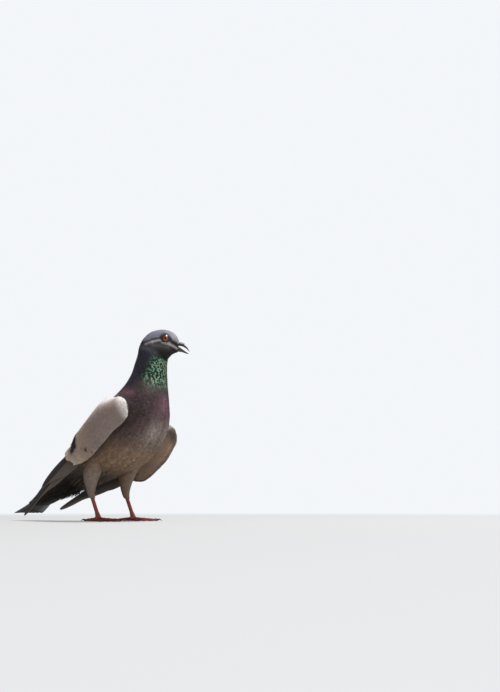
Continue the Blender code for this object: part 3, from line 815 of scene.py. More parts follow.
def wing_marks(l, b, under):
    """Colour of the wing at (l, b), with painted light on its upper part and painted shade along its lower
    edge beneath; under is 1 on its inner face.
    """
    colour = ramp([(6, SHIELD_GREY), (45, SHIELD_GREY), (66, SHIELD_REAR), (96, COVERT_TIP)], l + 0.25 * b)
    front_edge = 1 - smoothstep(-5, 5, l - 0.12 * np.abs(b - 4))
    # The band along the shield's upper edge is partly its own pale edge and partly painted light from above.
    pale_top_and_light = smoothstep(9, 21, b) * (1 - smoothstep(28, 60, l))
    # Painted light: the shield is painted lighter towards its upper edge and darker towards its lower edge, as
    # if lit from above.
    painted_top_light = 0.85 + 0.15 * smoothstep(-17, -2, b) + 0.55 * smoothstep(2, 20, b)
    colour = colour * mix(painted_top_light, 1.0, smoothstep(66, 84, l))[..., None]
    colour = painted(colour, SHIELD_WHITE, np.maximum(front_edge, 0.95 * pale_top_and_light))
    bar = blot(l - 77.5 + 0.3 * b, b, (0.0, 6.0), (6.2, 9.5), 6)
    dark = 1.4 * bar + sum(k * blot(l, b, (x, y), (w, h)) for x, y, w, h, k in WING_SPOTS)
    colour = painted(colour, BAR_BLACK, dark)
    # Painted shade: the inner face is darkened along its lower edge, beside the body, and at the wrist.
    fall = window(l, *DROP_ALONG, UNDERWING_SHADE_RISE)
    rim = 1 - smoothstep(0.5, 3.5, b + fall - edge_at(SHIELD_LOW, l))
    below = np.broadcast_to(UNDERWING, colour.shape)
    below = painted(below, UNDERWING_SHADE, np.maximum(0.8 * rim, 0.8 * (1 - smoothstep(-4, 10, l))))
    below = painted(below, SHIELD_WHITE, 0.7 * smoothstep(4, 11, b) * (1 - smoothstep(4, 18, l)))
    below = painted(below, FLIGHT, smoothstep(70, 92, l))
    return mix(colour, below, np.asarray(under, float)[..., None])


# ---------------------------------------------------------------- materials

def new_material(name):
    made = bpy.data.materials.new(name)
    made.use_nodes = True
    return made, made.node_tree, made.node_tree.nodes["Principled BSDF"]


def connect(tree, made, inputs):
    """Gives a node's inputs their values, or links them to the sockets given."""
    for key, value in inputs.items():
        if isinstance(value, bpy.types.NodeSocket):
            tree.links.new(value, made.inputs[key])
        else:
            made.inputs[key].default_value = value


def node(tree, kind, inputs=(), **settings):
    """A shader node with its inputs and settings."""
    made = tree.nodes.new(kind)
    for key, value in settings.items():
        setattr(made, key, value)
    connect(tree, made, dict(inputs))
    return made


def attribute(tree, name, socket):
    return node(tree, "ShaderNodeAttribute", attribute_name=name).outputs[socket]


def maths(tree, operation, a, b=0.0):
    return node(tree, "ShaderNodeMath", {0: a, 1: b}, operation=operation).outputs[0]


def scaled(tree, value, low, high):
    """value from 0 to 1 taken to low to high."""
    return node(tree, "ShaderNodeMapRange", {"Value": value, "To Min": low, "To Max": high}).outputs[0]


def noise(tree, scale, detail):
    return node(tree, "ShaderNodeTexNoise", {"Scale": scale, "Detail": detail}).outputs[0]


def bumps(tree, height, strength, distance):
    inputs = {"Strength": strength, "Distance": distance, "Height": height}
    return node(tree, "ShaderNodeBump", inputs).outputs[0]


def mixed(tree, share, first, second):
    """A colour between two others, by a share of 0 to 1."""
    inputs = {"Factor": share, 6: (*first, 1), 7: (*second, 1)}
    return node(tree, "ShaderNodeMix", inputs, data_type="RGBA").outputs[2]


def times(tree, colour, value):
    """A colour made lighter or darker by a value."""
    grey = node(tree, "ShaderNodeCombineColor", {0: value, 1: value, 2: value}).outputs[0]
    inputs = {"Factor": 1.0, 6: colour, 7: grey}
    return node(tree, "ShaderNodeMix", inputs, data_type="RGBA", blend_type="MULTIPLY").outputs[2]


SHAFT_HALF_WIDTH = 0.022


def feather_material(name, barbs, contrast, roughness=0.78, bump_size=0.00012):
    """Feathers: their own tint, fine slanting barbs, a shaft, and a gloss where the tint's alpha says so."""
    made, tree, shader = new_material(name)
    tint = attribute(tree, "tint", "Color")
    gloss = attribute(tree, "tint", "Alpha")
    across, along, chance = node(tree, "ShaderNodeSeparateXYZ", {0: attribute(tree, "vane", "Vector")}).outputs
    side = maths(tree, "ABSOLUTE", maths(tree, "SUBTRACT", across, 0.5))
    slant = maths(tree, "SUBTRACT", along, maths(tree, "MULTIPLY", side, 0.5))
    shifted = maths(tree, "ADD", maths(tree, "MULTIPLY", slant, barbs), maths(tree, "MULTIPLY", chance, 40.0))
    line = maths(tree, "PINGPONG", shifted, 0.5)
    shaft = maths(tree, "GREATER_THAN", SHAFT_HALF_WIDTH, side)
    patchy = scaled(tree, noise(tree, 420.0, 3.0), -0.16, 0.16)
    shade = maths(tree, "ADD", scaled(tree, line, 1 - contrast, 1 + contrast), patchy)
    shade = maths(tree, "SUBTRACT", shade, maths(tree, "MULTIPLY", shaft, 0.18))
    height = maths(tree, "ADD", line, maths(tree, "MULTIPLY", shaft, 1.5))
    connect(tree, shader, {
        "Base Color": times(tree, tint, shade),
        "Roughness": scaled(tree, gloss, roughness, 0.36),
        "Metallic": scaled(tree, gloss, 0.0, 0.35),
        "Specular IOR Level": 0.3,
        "Normal": bumps(tree, height, 0.5, bump_size),
    })
    return made


def tinted_material(name, noise_scale, low, high, roughness):
    """Bare skin or scales: the piece's own tint with cloudy patches; gives their noise as well."""
    made, tree, shader = new_material(name)
    clouds = noise(tree, noise_scale, 4.0)
    tint = times(tree, attribute(tree, "tint", "Color"), scaled(tree, clouds, low, high))
    connect(tree, shader, {"Base Color": tint, "Roughness": roughness})
    return made, tree, shader, clouds


COAT = feather_material("coat_feathers", 16.0, 0.1)
VANE = feather_material("flight_feathers", 150.0, 0.12, roughness=0.6, bump_size=0.00025)


# ---------------------------------------------------------------- coat of the body

BODY = body_form()

# By station, in millimetres: the space between feathers, their length over that space, and the coat's depth.
SPACING = [(-2, 2.4), (1, 2.0), (4, 1.85), (7, 1.65), (8.6, 1.4), (10, 1.2), (12, 1.05), (13.4, 0.94),
           (15, 0.84), (17, 0.75), (19, 0.67), (22, 0.58)]
LENGTH_RATIO = [(-2, 4.2), (-1, 5.2), (0.5, 5.2), (2, 4.4), (7, 4.2), (10, 4.0), (13, 3.6), (15, 3.1),
                (22, 2.6)]
DEPTH = [(-2, 1.2), (0.5, 2.2), (3, 3.2), (7, 3.2), (9, 2.6), (12, 1.9), (14, 1.2), (17, 0.85), (22, 0.6)]
# Stations where the kinds of feathers change.
HEAD_FROM, NAPE_FROM, NECK_FROM, BREAST_FROM = 14.2, 12.0, 9.6, 5.5


def body_spacing(v, u):
    place = station(v)
    back = smoothstep(0.2, 0.75, on_back(u))
    return stops_at(SPACING, place) * (1 + window(place, -0.5, 1.0, 7.0, 9.5, 0.45 * back))


def random_tint(colour, rng, spread):
    """Colours made a little lighter or darker, feather by feather."""
    count = colour.shape[0]
    shade = np.exp(rng.normal(0, spread, count))[:, None, None, None]
    warm = 1 + rng.normal(0, spread * 0.25, (count, 1, 1, 3))
    return colour * shade * warm


def root_shade_and_pale_rim(block):
    """Darker roots, partly downy bases and partly painted shade where the next feathers overlap them, and a
    slightly paler rim, as one factor for each grid point.
    """
    t, s = block["t"], block["s"]
    rim = smoothstep(0.78, 1.0, np.maximum(t, np.abs(s) * 0.97))
    return (0.74 + 0.26 * smoothstep(0.1, 0.6, t)) * (1 + 0.1 * rim)


def finish_block(block, colour, gloss, rng, spread=0.09):
    """Gives a block its tints, gloss and each feather's own chance number."""
    block["tint"] = np.clip(random_tint(colour, rng, spread) * root_shade_and_pale_rim(block)[..., None], 0, 1)
    block["gloss"] = np.broadcast_to(gloss, block["t"].shape)
    block["chance"] = rng.random(len(colour))
    return block


def body_coat(rng):
    """Places, sizes and lie of the contour feathers of head, neck, trunk and tail coverts."""
    v, u = scatter(BODY, body_spacing, rng)
    near, off_y, off_z = eye_distance(BODY.point(v, u))
    keep = (near > LID_OUTER - 0.2) & (station(v) > rng.uniform(-2.6, -0.9, len(v)))
    v, u, near, off_y, off_z = (k[keep] for k in (v, u, near, off_y, off_z))
    place = station(v)
    spacing = body_spacing(v, u)
    length = spacing * stops_at(LENGTH_RATIO, place) * rng.uniform(0.88, 1.12, len(v))
    width = spacing * mix(2.5, 2.0, smoothstep(10, 15, place)) * rng.uniform(0.9, 1.1, len(v))
    ahead_of_eye = (off_y < 1.5) & (near < 10)
    length = np.where(ahead_of_eye, np.minimum(length, np.maximum(0.9, (near - LID_OUTER) * 0.75)), length)
    width = np.where(near < 8, width * 0.75, width)
    swing = rng.normal(0, 0.1, len(v))
    parting = np.clip((9 - near) / 4, 0, 1) * (off_y < 0)
    side = np.where((u % 1.0) < 0.5, 1.0, -1.0)
    swing = swing - side * parting * np.sign(off_z + 1e-9) * 0.5
    depth = stops_at(DEPTH, place)
    jitter = rng.normal(0, 1, (2, len(v))) * spacing * 0.35
    return v, u, place, length, width, swing, depth, jitter


def coat_block(rng, chosen, coat, steps, shape):
    """The chosen feathers of the body's coat, with the neck's glints on their tips."""
    v, u, place, length, width, swing, depth, jitter = (k[..., chosen] for k in coat)
    root = -0.75 * depth
    tip = 0.02 * depth + rng.normal(0, 0.025, len(v)) * depth
    block = lay_feathers(BODY, v, u, length, width, root, tip, rng, swing, camber=0.035, steps=steps,
                         shape=shape, lift_power=0.5)
    shift_v, shift_u = (each(shift * MM / np.linalg.norm(BODY.look(table, v, u), axis=-1))
                        for shift, table in zip(jitter, (BODY.along, BODY.round)))
    colour, gloss = body_marks(BODY, block["v"] + shift_v, block["u"] + shift_u)
    green, purple = neck_sheen(v, u)
    flash = rng.random(len(v))
    distal = smoothstep(0.45, 0.8, block["t"]) * (1 - 0.5 * np.abs(block["s"]))
    rows = 0.5 + 0.5 * np.sin(2 * math.pi * (v * 46 + from_front(u) * 26))
    flash = 0.62 * flash + 0.38 * rows
    for paint, sheen, low, high, strength in (
        (GLINT_GREEN, green, 0.42, 0.66, 0.85),
        (GLINT_MINT, green**2, 0.46, 0.62, 0.85),
        (GLINT_PURPLE, purple, 0.5, 0.9, 0.22),
    ):
        colour = painted(colour, paint, each(sheen * smoothstep(low, high, flash)) * distal * strength)
    return finish_block(block, colour, gloss * 0.9, rng, mix(0.15, 0.09, smoothstep(12, 15, place.mean())))


def make_body_coat():
    rng = np.random.default_rng(SEED)
    coat = body_coat(rng)
    place, front = coat[2], from_front(coat[1]) < 0.25
    low, middle = place < BREAST_FROM, (place >= BREAST_FROM) & (place < NECK_FROM)
    groups = {
        "coat_head": ("slate", place >= HEAD_FROM, 6, ROUND_TIP),
        "coat_nape": ("neck_green", (place >= NAPE_FROM) & (place < HEAD_FROM), 7, HACKLE_TIP),
        "coat_neck": ("neck_green", (place >= NECK_FROM) & (place < NAPE_FROM), 7, HACKLE_TIP),
        "coat_breast": ("body_grey", middle & front, 7, ROUND_TIP),
        "coat_mantle": ("body_grey", middle & ~front, 7, ROUND_TIP),
        "coat_belly": ("body_grey", low & front, 7, ROUND_TIP),
        "coat_rump": ("tail_grey", low & ~front, 7, ROUND_TIP),
    }
    for name, (slot, chosen, steps, shape) in groups.items():
        chosen = np.nonzero(chosen)[0]
        feather_piece(name, [coat_block(rng, chosen, coat, steps, shape)], COAT)


# ---------------------------------------------------------------- thighs

def make_thigh_coat(name, side, shift, rng):
    form = thigh_form(side, shift, True)

    def spacing(v, u):
        return mix(1.8, 0.8, smoothstep(0.3, 0.83, v))

    def outside_body(v, u):
        spot = (form.point(v, u) - SHIFT) / MM
        outside = np.abs(spot[..., 0]) > body_half_width(spot[..., 1], spot[..., 2]) - 3.0
        return (outside & (v < 0.87)).astype(float)

    v, u = scatter(form, spacing, rng, outside_body)
    space = spacing(v, u)
    length = space * mix(4.2, 3.6, v) * rng.uniform(0.88, 1.12, len(v))
    length = np.minimum(length, 1.2 + (0.95 - v) * 60)
    depth = mix(1.9, 0.6, np.minimum(1, 1.2 * v))
    block = lay_feathers(form, v, u, length, space * 2.2, -0.7 * depth, 0.04 * depth, rng,
                         swing=rng.normal(0, 0.12, len(v)), camber=0.04, steps=6, lift_power=0.6)
    # The thighs' inner faces, between the legs, take the belly's darker colour, partly as painted shade; their
    # tops blend into the belly.
    inner = smoothstep(-0.3, 0.8, -side * np.sin(2 * math.pi * block["u"]))
    pale = np.maximum(0.8 * inner, 1 - smoothstep(0.25, 0.55, block["v"]))
    finish_block(block, painted(plain(THIGH_GREY, block), BELLY, pale), 0.0, rng)
    return feather_piece("coat_thigh_" + name, [block], COAT)


def make_vent_fluff(rng):
    """Long loose feathers that hang behind the thighs and between the legs."""
    count = FLUFF_FEATHERS
    v = at_station(rng.uniform(0.6, 4.2, count))
    u = 0.5 + np.clip(rng.normal(0, 0.075, count), -0.13, 0.13)
    place = station(v)
    length = mix(15.0, 11.0, smoothstep(2.0, 4.0, place)) * rng.uniform(0.8, 1.25, count)
    sag = mix(1.5, 6.0, np.exp(-(((place - 2.2) / 1.2) ** 2))) * rng.uniform(0.4, 1.15, count)
    block = lay_feathers(BODY, v, u, length, rng.uniform(1.5, 2.8, count), 0 * v - 1.0, sag, rng, steps=7,
                         swing=rng.normal(0, 0.16, count), camber=0.02, lift_power=1.2, shape=HACKLE_TIP)
    colour = body_marks(BODY, block["v"], block["u"])[0]
    # Painted light: about a sixth of the forward strands are painted paler, as loose fluff catching the light.
    pale = (rng.random(count) < 0.16) & (place > 2.4)
    colour = painted(colour, BREAST_LOW, each(pale) * 0.8 + 0 * block["t"])
    return feather_piece("vent_fluff", [finish_block(block, colour, 0.0, rng, 0.12)], COAT)


# ---------------------------------------------------------------- wings

def lay_on_wing(wing, l, b, length, width, heading, root, tip, rng):
    """Long coverts' grids laid on a wing's sheet; heading turns a feather from +l towards +b."""
    t, s, far, wide = feather_grid(length, width, rng, LOBE_TIP, steps=10, columns=9, ruffle=0.03)
    wide = wide * -wing.side
    ahead, aside = each(np.cos(heading)), each(np.sin(heading))
    at_l = each(l) + far * ahead + wide * aside
    at_b = each(b) + far * aside - wide * ahead
    h = mix(each(root), each(tip), t**0.8) + arched(0.05 * each(width), t, s)
    points = to_row(wing.point(at_l, at_b, h + wing.swell(at_l, at_b)))
    return {"points": points, "l": at_l, "b": at_b, "t": t, "s": s,
            "map": np.stack([(l + 12) / 220, (b + 34) / 80], -1)}


def shield_sheet_place(wing, v, u):
    """(l, b) on the wing's sheet, and 1 on the inner face, for a place on the shield's form."""
    l = shield_l(np.clip(v, 0, 1.1))
    low, high = wing.edges(l)
    turn = u % 1.0
    under = turn > 0.5
    share = np.where(under, 2 - 2 * turn, 2 * turn)
    return l, mix(low, high, share), window(turn, 0.47, 0.53, 0.985, 1.0)


def make_shield_coat(name, wing, rng):
    """The small coverts, which wrap the shield's edge from its outer to its inner face."""
    form = shield_form(wing)

    def spacing(v, u):
        return mix(1.1, 2.5, smoothstep(0.0, 70.0, shield_l(v))) * mix(1.0, 1.15, (u % 1.0) > 0.5)

    def wanted(v, u):
        under = (u % 1.0) > 0.5
        return ((shield_l(v) > SHIELD_FROM + 0.1) & (shield_l(v) < np.where(under, 76.0, 68.0))).astype(float)

    v, u = scatter(form, spacing, rng, wanted)
    space = spacing(v, u)
    behind_nose = shield_l(v) - SHIELD_FROM
    length = np.minimum(space * 4.2, 1.4 + 0.4 * behind_nose) * rng.uniform(0.88, 1.12, len(v))
    width = space * mix(1.3, 2.5, smoothstep(0, 7, behind_nose))
    block = lay_feathers(form, v, u, length, width, 0 * v - 1.0, rng.normal(0.12, 0.05, len(v)), rng,
                         swing=rng.normal(0, 0.08, len(v)), camber=0.03, steps=7, lift_power=0.6)
    shift_v, shift_u = rng.normal(0, 0.004, (2, len(v), 1, 1))
    l, b, under = shield_sheet_place(wing, block["v"] + shift_v, block["u"] + shift_u)
    finish_block(block, wing_marks(l, b, under), 0.0, rng, 0.06)
    return feather_piece("coat_wing_" + name, [block], COAT)


# The long coverts end on this line: b across the wing, and the l that they reach.
COVERT_ENDS = [(-29, 50), (-26, 62), (-21, 77), (-16, 84), (-8, 91), (0, 96), (6, 97), (20, 78), (28, 60)]
# Rows of long coverts, rear row first: how many, distance back from that line, length, width, height off the
# sheet, and the b of the row's two ends.
COVERT_ROWS = [
    (4, 0.0, 34.0, 16.0, 1.4, -22.0, 11.0),
    (8, 11.0, 26.0, 10.0, 2.2, -20.0, 15.0),
    (11, 20.0, 21.0, 8.0, 2.8, -19.0, 20.0),
    (13, 29.0, 18.0, 7.5, 3.3, -18.0, 24.0),
]
# Flight feathers on the wing's sheet; pairs run from the innermost feather to the outermost.
FLIGHT_COUNT = 10
FLIGHT_GROUPS = {
    "secondaries": {"from_l": 74.0, "tips": (150.0, 112.0), "b": (1.5, -13.0), "narrowing": 6.0,
                    "h": (-0.6, -2.2), "half_width": 5.5},
    "primaries": {"from_l": 84.0, "tips": (200.0, 140.0), "b": (0.5, -12.0), "narrowing": 8.0,
                  "h": (-2.8, -4.4), "half_width": 4.8},
}


def covert_row(wing, rng, count, back, length, width, h, b_from, b_to):
    """A row of long coverts whose tips lie a distance back from the shield's rear line."""
    share = (np.arange(count) + 0.5) / count
    lift = 0.9 * max(-wing.drop, 0.0)
    tip_b = mix(b_from + lift, b_to, share)
    end_b = tip_b - lift * (1 - share) ** 2
    tip_l = stops_at(COVERT_ENDS, end_b) - back + rng.normal(0, 0.5, count)
    heading = mix(-0.10, 0.12, share) + rng.normal(0, 0.02, count)
    stack = np.linspace(0.0, -0.5, count)
    full = mix(0.5, 1.0, smoothstep(-22, -7, end_b))
    l = tip_l - length * full * np.cos(heading)
    b = tip_b - length * full * np.sin(heading)
    return lay_on_wing(wing, l, b, length * full, width * full, heading, h - 1.2 + stack, h + stack, rng)


def make_long_coverts(name, wing, rng):
    """Median and greater coverts: the rows that end the pale shield."""
    blocks = []
    for row in COVERT_ROWS:
        block = covert_row(wing, rng, *row)
        shifted = block["l"] + rng.normal(0, 0.8, (row[0], 1, 1))
        colour = wing_marks(shifted, block["b"], 0 * block["l"])
        if row is COVERT_ROWS[0]:
            colour = painted(colour, COVERT_TIP, 0.6 * smoothstep(0.8, 1.0, block["t"]))
        blocks.append(finish_block(block, colour, 0.0, rng, 0.05))
    return feather_piece("long_coverts_" + name, blocks, VANE, patch=0.006)


def vane_grid(count, steps, shape, columns=9):
    """t and s of a few long feathers' even grids, their outline, and their places on the bake map."""
    t = np.linspace(0, 1, steps)[None, :, None]
    s = np.linspace(-1, 1, columns)[None, None, :]
    return t, s, outline(t, s, shape), np.stack([np.full(count, 0.5), (np.arange(count) + 0.5) / count], -1)


def flight_feathers(wing, rng, from_l, tips, b, narrowing, h, half_width):
    """Long vanes of a folded wing, from the innermost, on top, to the outermost, beneath."""
    share = each((np.arange(FLIGHT_COUNT) + 0.5) / FLIGHT_COUNT)
    tip_l = mix(*tips, share**0.85) + rng.normal(0, 0.4, (FLIGHT_COUNT, 1, 1))
    t, s, (along, across), spot = vane_grid(FLIGHT_COUNT, 26, LONG_TIP)
    l = from_l + (tip_l - from_l) * along
    closing = narrowing * smoothstep(from_l, WING_LENGTH, l)
    b = mix(*b, share) + closing * (share * 2 - 1) + across * half_width
    h = mix(*h, share) + 0.3 * (1 - s * s) + 0 * l
    return {"points": to_row(wing.point(l, b, h)), "t": t + 0 * l, "s": s + 0 * l, "map": spot,
            "mirror": wing.side < 0}


def flight_colour(block):
    """Grey-brown vanes with a paler outer edge and tip and a darker inner web."""
    s = -block["s"]
    pale = 0.9 * smoothstep(0.7, 0.95, s) + 0.3 * smoothstep(0.93, 1.0, block["t"])
    colour = painted(plain(FLIGHT, block), FLIGHT_EDGE, pale)
    return painted(colour, INNER_WEB, 0.5 * smoothstep(-0.2, -0.9, s))


def make_flight_feathers(name, wing, rng):
    """Secondaries and primaries; a wing that hangs lower has its outermost feathers lower and longer."""
    made = []
    fall = max(wing.drop, 0.0)
    for kind, group in FLIGHT_GROUPS.items():
        (inner_b, outer_b), (inner_tip, outer_tip) = group["b"], group["tips"]
        lower = {"b": (inner_b, outer_b - 0.45 * fall), "tips": (inner_tip, outer_tip + 2.3 * fall)}
        block = flight_feathers(wing, rng, **{**group, **lower})
        finish_block(block, flight_colour(block), 0.15, rng, 0.07)
        made.append(feather_piece(f"{kind}_vanes_{name}", [block], VANE, patch=0.04))
    return made


def make_scapulars(rng):
    """Long feathers from the back's sides that close the gap above each folded wing."""
    blocks = []
    front, rear = at_station(8.3), at_station(3.4)
    rows, columns = 17, 6
    count = rows * columns
    across = np.tile(np.linspace(0, 1, columns), rows)
    for side in (-1, 1):
        v = np.repeat(np.linspace(front, rear, rows), columns) + rng.normal(0, 0.004, count)
        v = v + 0.4 * (rear - front) / rows * np.tile([0, 1], count // 2)
        u = (side * (mix(0.09, 0.215, across) + rng.normal(0, 0.004, count))) % 1.0
        behind = smoothstep(front, rear, v)
        length = mix(12.0, 19.0, behind) * rng.uniform(0.88, 1.1, count)
        width = mix(5.5, 8.5, across) * mix(0.65, 1.0, behind)
        lift = mix(0.3, 2.6, across**1.2)
        swing = side * mix(0.02, 0.25, across) + rng.normal(0, 0.06, count)
        block = lay_feathers(BODY, v, u, length, width, 0 * v - 1.5, lift, rng, swing, camber=0.05, steps=8,
                             columns=7, ruffle=0.03, lift_power=0.6)
        blocks.append(finish_block(block, plain(MANTLE, block), 0.0, rng, 0.06))
    return feather_piece("scapulars", blocks, COAT)


# ---------------------------------------------------------------- tail

def tail_point(share, side_share, height):
    """A place on the tail's upper sheet: along it, across it from -1 to 1, and off it."""
    back, front, start_half = (np.array(k, float) for k in BODY_STATIONS["tail_coverts_end"])
    start, tip = (back + front) / 2, np.array(TAIL_TIP)
    seam_up = (back - front) / np.linalg.norm(back - front)
    along = (tip - start) / np.linalg.norm(tip - start)
    tip_up = np.array([-along[1], along[0]])
    lean = smoothstep(0, 0.4, share)[..., None]
    up = mix(seam_up, tip_up, lean)
    up = up / np.linalg.norm(up, axis=-1, keepdims=True)
    half = mix(float(start_half), TAIL_HALF_WIDTH, smoothstep(0, 0.9, share))
    x = side_share * half
    drop = TAIL_ARCH * smoothstep(0, 0.6, share) * (x / TAIL_HALF_WIDTH) ** 2
    spot = mix(start, tip, share[..., None]) + up * (height - drop)[..., None]
    return to_row(np.stack([x + 0 * drop, spot[..., 0], spot[..., 1]], -1))


def make_tail(rng):
    """The tail feathers: the middle pair on top, each next one outwards beneath it."""
    middle = (TAIL_FEATHERS - 1) / 2
    k = np.arange(TAIL_FEATHERS)
    order, side = each(np.abs(k - middle) - 0.5), each(np.sign(k - middle))
    t, s, (along, across), spot = vane_grid(TAIL_FEATHERS, 30, TAIL_END)
    reach = 1.0 - 0.012 * order**1.6
    share = -0.1 + (reach + 0.1) * along
    fan = mix(0.75, 1.0, smoothstep(0, 1, share))
    across_share = side * (order * 0.155 + 0.06) * fan + across * 0.215 * fan
    height = 0.55 - 0.26 * order + 0.25 * (1 - s * s) + 0 * share
    block = {"points": tail_point(share, across_share, height), "t": t + 0 * share, "s": s + 0 * share,
             "map": spot, "mirror": True}
    band = smoothstep(0.74, 0.8, share) * (1 - 0.5 * smoothstep(0.975, 1.0, share))
    outer = smoothstep(4.2, 5.0, order) * smoothstep(0.5, 1.0, s * side)
    colour = painted(painted(plain(TAIL_GREY, block), TAIL_BAND, band), RUMP, 0.7 * outer * (1 - band))
    finish_block(block, colour, 0.1, rng, 0.05)
    return feather_piece("tail_vanes", [block], VANE, patch=0.035)


# ---------------------------------------------------------------- skin

def ring_mesh(grid, looped=False):
    """A bmesh of rings, closed by a face at each end or, when looped, from its last ring to its first."""
    bm = bmesh.new()
    rings = [[bm.verts.new(p) for p in ring] for ring in grid]
    m = len(rings[0])
    for low, high in zip(rings, rings[1:] + (rings[:1] if looped else [])):
        for i in range(m):
            j = (i + 1) % m
            bm.faces.new((low[i], low[j], high[j], high[i]))
    if not looped:
        bm.faces.new(rings[0][::-1])
        bm.faces.new(rings[-1])
    bmesh.ops.recalc_face_normals(bm, faces=bm.faces)
    return bm


def joined(parts, mesh=None):
    """One bmesh of a mesh, if given, and the parts, which are used up."""
    whole = bmesh.new()
    if mesh:
        whole.from_mesh(mesh)
    for part in parts:
        step = bpy.data.meshes.new("part")
        part.to_mesh(step)
        part.free()
        whole.from_mesh(step)
        bpy.data.meshes.remove(step)
    return whole


def object_from(bm, name):
    mesh = bpy.data.meshes.new(name)
    bm.to_mesh(mesh)
    bm.free()
    return new_object(name, mesh)


def apply_modifiers(obj):
    graph = bpy.context.evaluated_depsgraph_get()
    mesh = bpy.data.meshes.new_from_object(obj.evaluated_get(graph))
    obj.modifiers.clear()
    old, obj.data = obj.data, mesh
    bpy.data.meshes.remove(old)


def body_core():
    """The body under its coat, with the coat's depth taken off."""
    v, u = lattice(260, 120)
    return ring_mesh(BODY.point(v, u, -stops_at(DEPTH, station(v)) * MM))


def thigh_core(side, shift):
    v, u = lattice(50, 40)
    return ring_mesh(thigh_form(side, shift).point(v, u, -mix(1.9, 0.35, v) * MM))


def wing_core(wing):
    return ring_mesh(shield_form(wing, 1.1).point(*lattice(70, 60, 0.0, 0.8)))


def ball(centre, radii):
    bm = bmesh.new()
    bmesh.ops.create_uvsphere(bm, u_segments=24, v_segments=16, radius=1)
    for vert in bm.verts:
        vert.co = Vector(to_row(np.array(vert.co) * radii + centre))
    return bm


def shank_rings(side, shift, share, bottom, sides):
    """Rings of the shank, thicker at both joints, from the hock, share 0, to bottom, share 1."""
    angles = circle(sides)
    knob = 1 + 0.55 * (1 - smoothstep(0, 0.25, share)) + 0.35 * smoothstep(0.75, 1, share)
    x = side * FOOT_X + SHANK_HALF[0] * knob * np.sin(angles)
    y = mix(HOCK_Y + shift, FOOT_Y + shift, share) + SHANK_HALF[1] * knob * np.cos(angles)
    return to_row(np.stack([x, y, mix(HOCK_Z, bottom, share) + 0 * x], -1))


def leg_core(side, shift):
    """Shank with a knobbed hock, foot pad and toes with pads under their joints."""
    shank = shank_rings(side, shift, np.linspace(-0.35, 1.1, 60)[:, None], FOOT_PAD_HEIGHT, 28)
    pad = ball((side * FOOT_X, FOOT_Y + shift, 2.95), (5.1, 5.1, 2.9))
    return [ring_mesh(shank), pad] + [ring_mesh(toe_rings(side, shift, toe, 20)) for toe in TOES.values()]


def along_toe(side, shift, toe, ahead_by, beside_by):
    """Places on the floor, so far out from the foot's middle along a toe and so far beside its line."""
    heading = math.radians(toe["angle"])
    ahead = np.array([-side * math.sin(heading), -math.cos(heading), 0.0])
    beside = np.array([-ahead[1], ahead[0], 0.0])
    centre = np.array([side * FOOT_X, FOOT_Y + shift, 0.0])
    return centre + ahead * ahead_by[..., None] + beside * beside_by[..., None]


def toe_profile(share, toe):
    """Half width, underside and top of a toe along its length."""
    pads = 0.5 + 0.5 * np.cos(share * 6 * math.pi)
    half = toe["half_width"] * (1 - 0.28 * share) * (1 + 0.09 * pads)
    top = mix(4.3, 2.5, share) + 0.15 * pads
    under = 0.35 * (1 - pads)
    end = np.sqrt(np.clip((1.03 - share) / 0.09, 0.03, 1))
    middle = (top + under) / 2
    return half * end, mix(middle, under, end), mix(middle, top, end)


def toe_rings(side, shift, toe, sides):
    share = np.linspace(-0.25, 1.03, 56)[:, None]
    half, under, top = toe_profile(share, toe)
    across, up = round_points(circle(sides), 2.3)
    start = FOOT_PAD_RADIUS + GAP
    place = along_toe(side, shift, toe, start + toe["length"] * share, across * half)
    place[..., 2] = (top + under) / 2 + up * (top - under) / 2
    return to_row(place)


def eye_frame(side):
    """An eye's centre and its axes in the row frame: outward, back along the head, and up."""
    x, y, z = EYE_CENTRE
    centre = to_row(turned((side * x, y, z)))
    out = turned((side * 1.0, NECK_AXIS_Y, 0.0)) - turned((0.0, NECK_AXIS_Y, 0.0))
    back = turned((0.0, NECK_AXIS_Y + 1.0, 0.0)) - turned((0.0, NECK_AXIS_Y, 0.0))
    return centre, out, back, np.array([0, 0, 1.0])


def round_eye(side, radius, polar, around):
    """Places at a radius from an eye's centre: polar from its outward axis, around from the back."""
    centre, out, back, up = eye_frame(side)
    rim = radius * np.sin(polar)
    return centre + MM * (out * (radius * np.cos(polar))[..., None] + back * (rim * np.cos(around))[..., None]
                          + up * (rim * np.sin(around))[..., None])


def lid_ring(side):
    """The bare rim round an eye, wrinkled finely, with a fold at each corner."""
    around = circle(96)
    polar, radius = (np.array(k)[:, None] for k in zip(*LIDS))
    folds = np.sin(math.pi * np.linspace(0, 1, len(LIDS)))[:, None]
    radius = radius + 0.045 * np.sin(23 * around) * folds
    corners = sum(size * np.exp(-((np.angle(np.exp(1j * (around - at))) / reach) ** 2))
                  for size, at, reach in ((0.075, math.pi * 1.04, 0.32), (0.05, 0.12, 0.3)))
    return ring_mesh(round_eye(side, radius, np.radians(polar) * (1 + corners), around), looped=True)


def shoulder_lumps(wing):
    """Flesh that joins a folded wing to the body at its shoulder."""
    parts = []
    for l, b, radii in ((26, 6, (10, 15, 12)), (42, 2, (8, 15, 11))):
        spot = wing.point(l, b, -3.5)
        inner = body_half_width(spot[1], spot[2]) * wing.side
        middle = np.array([mix(spot[0], inner, 0.55), spot[1], spot[2]])
        parts.append(ball(middle, radii))
    return parts


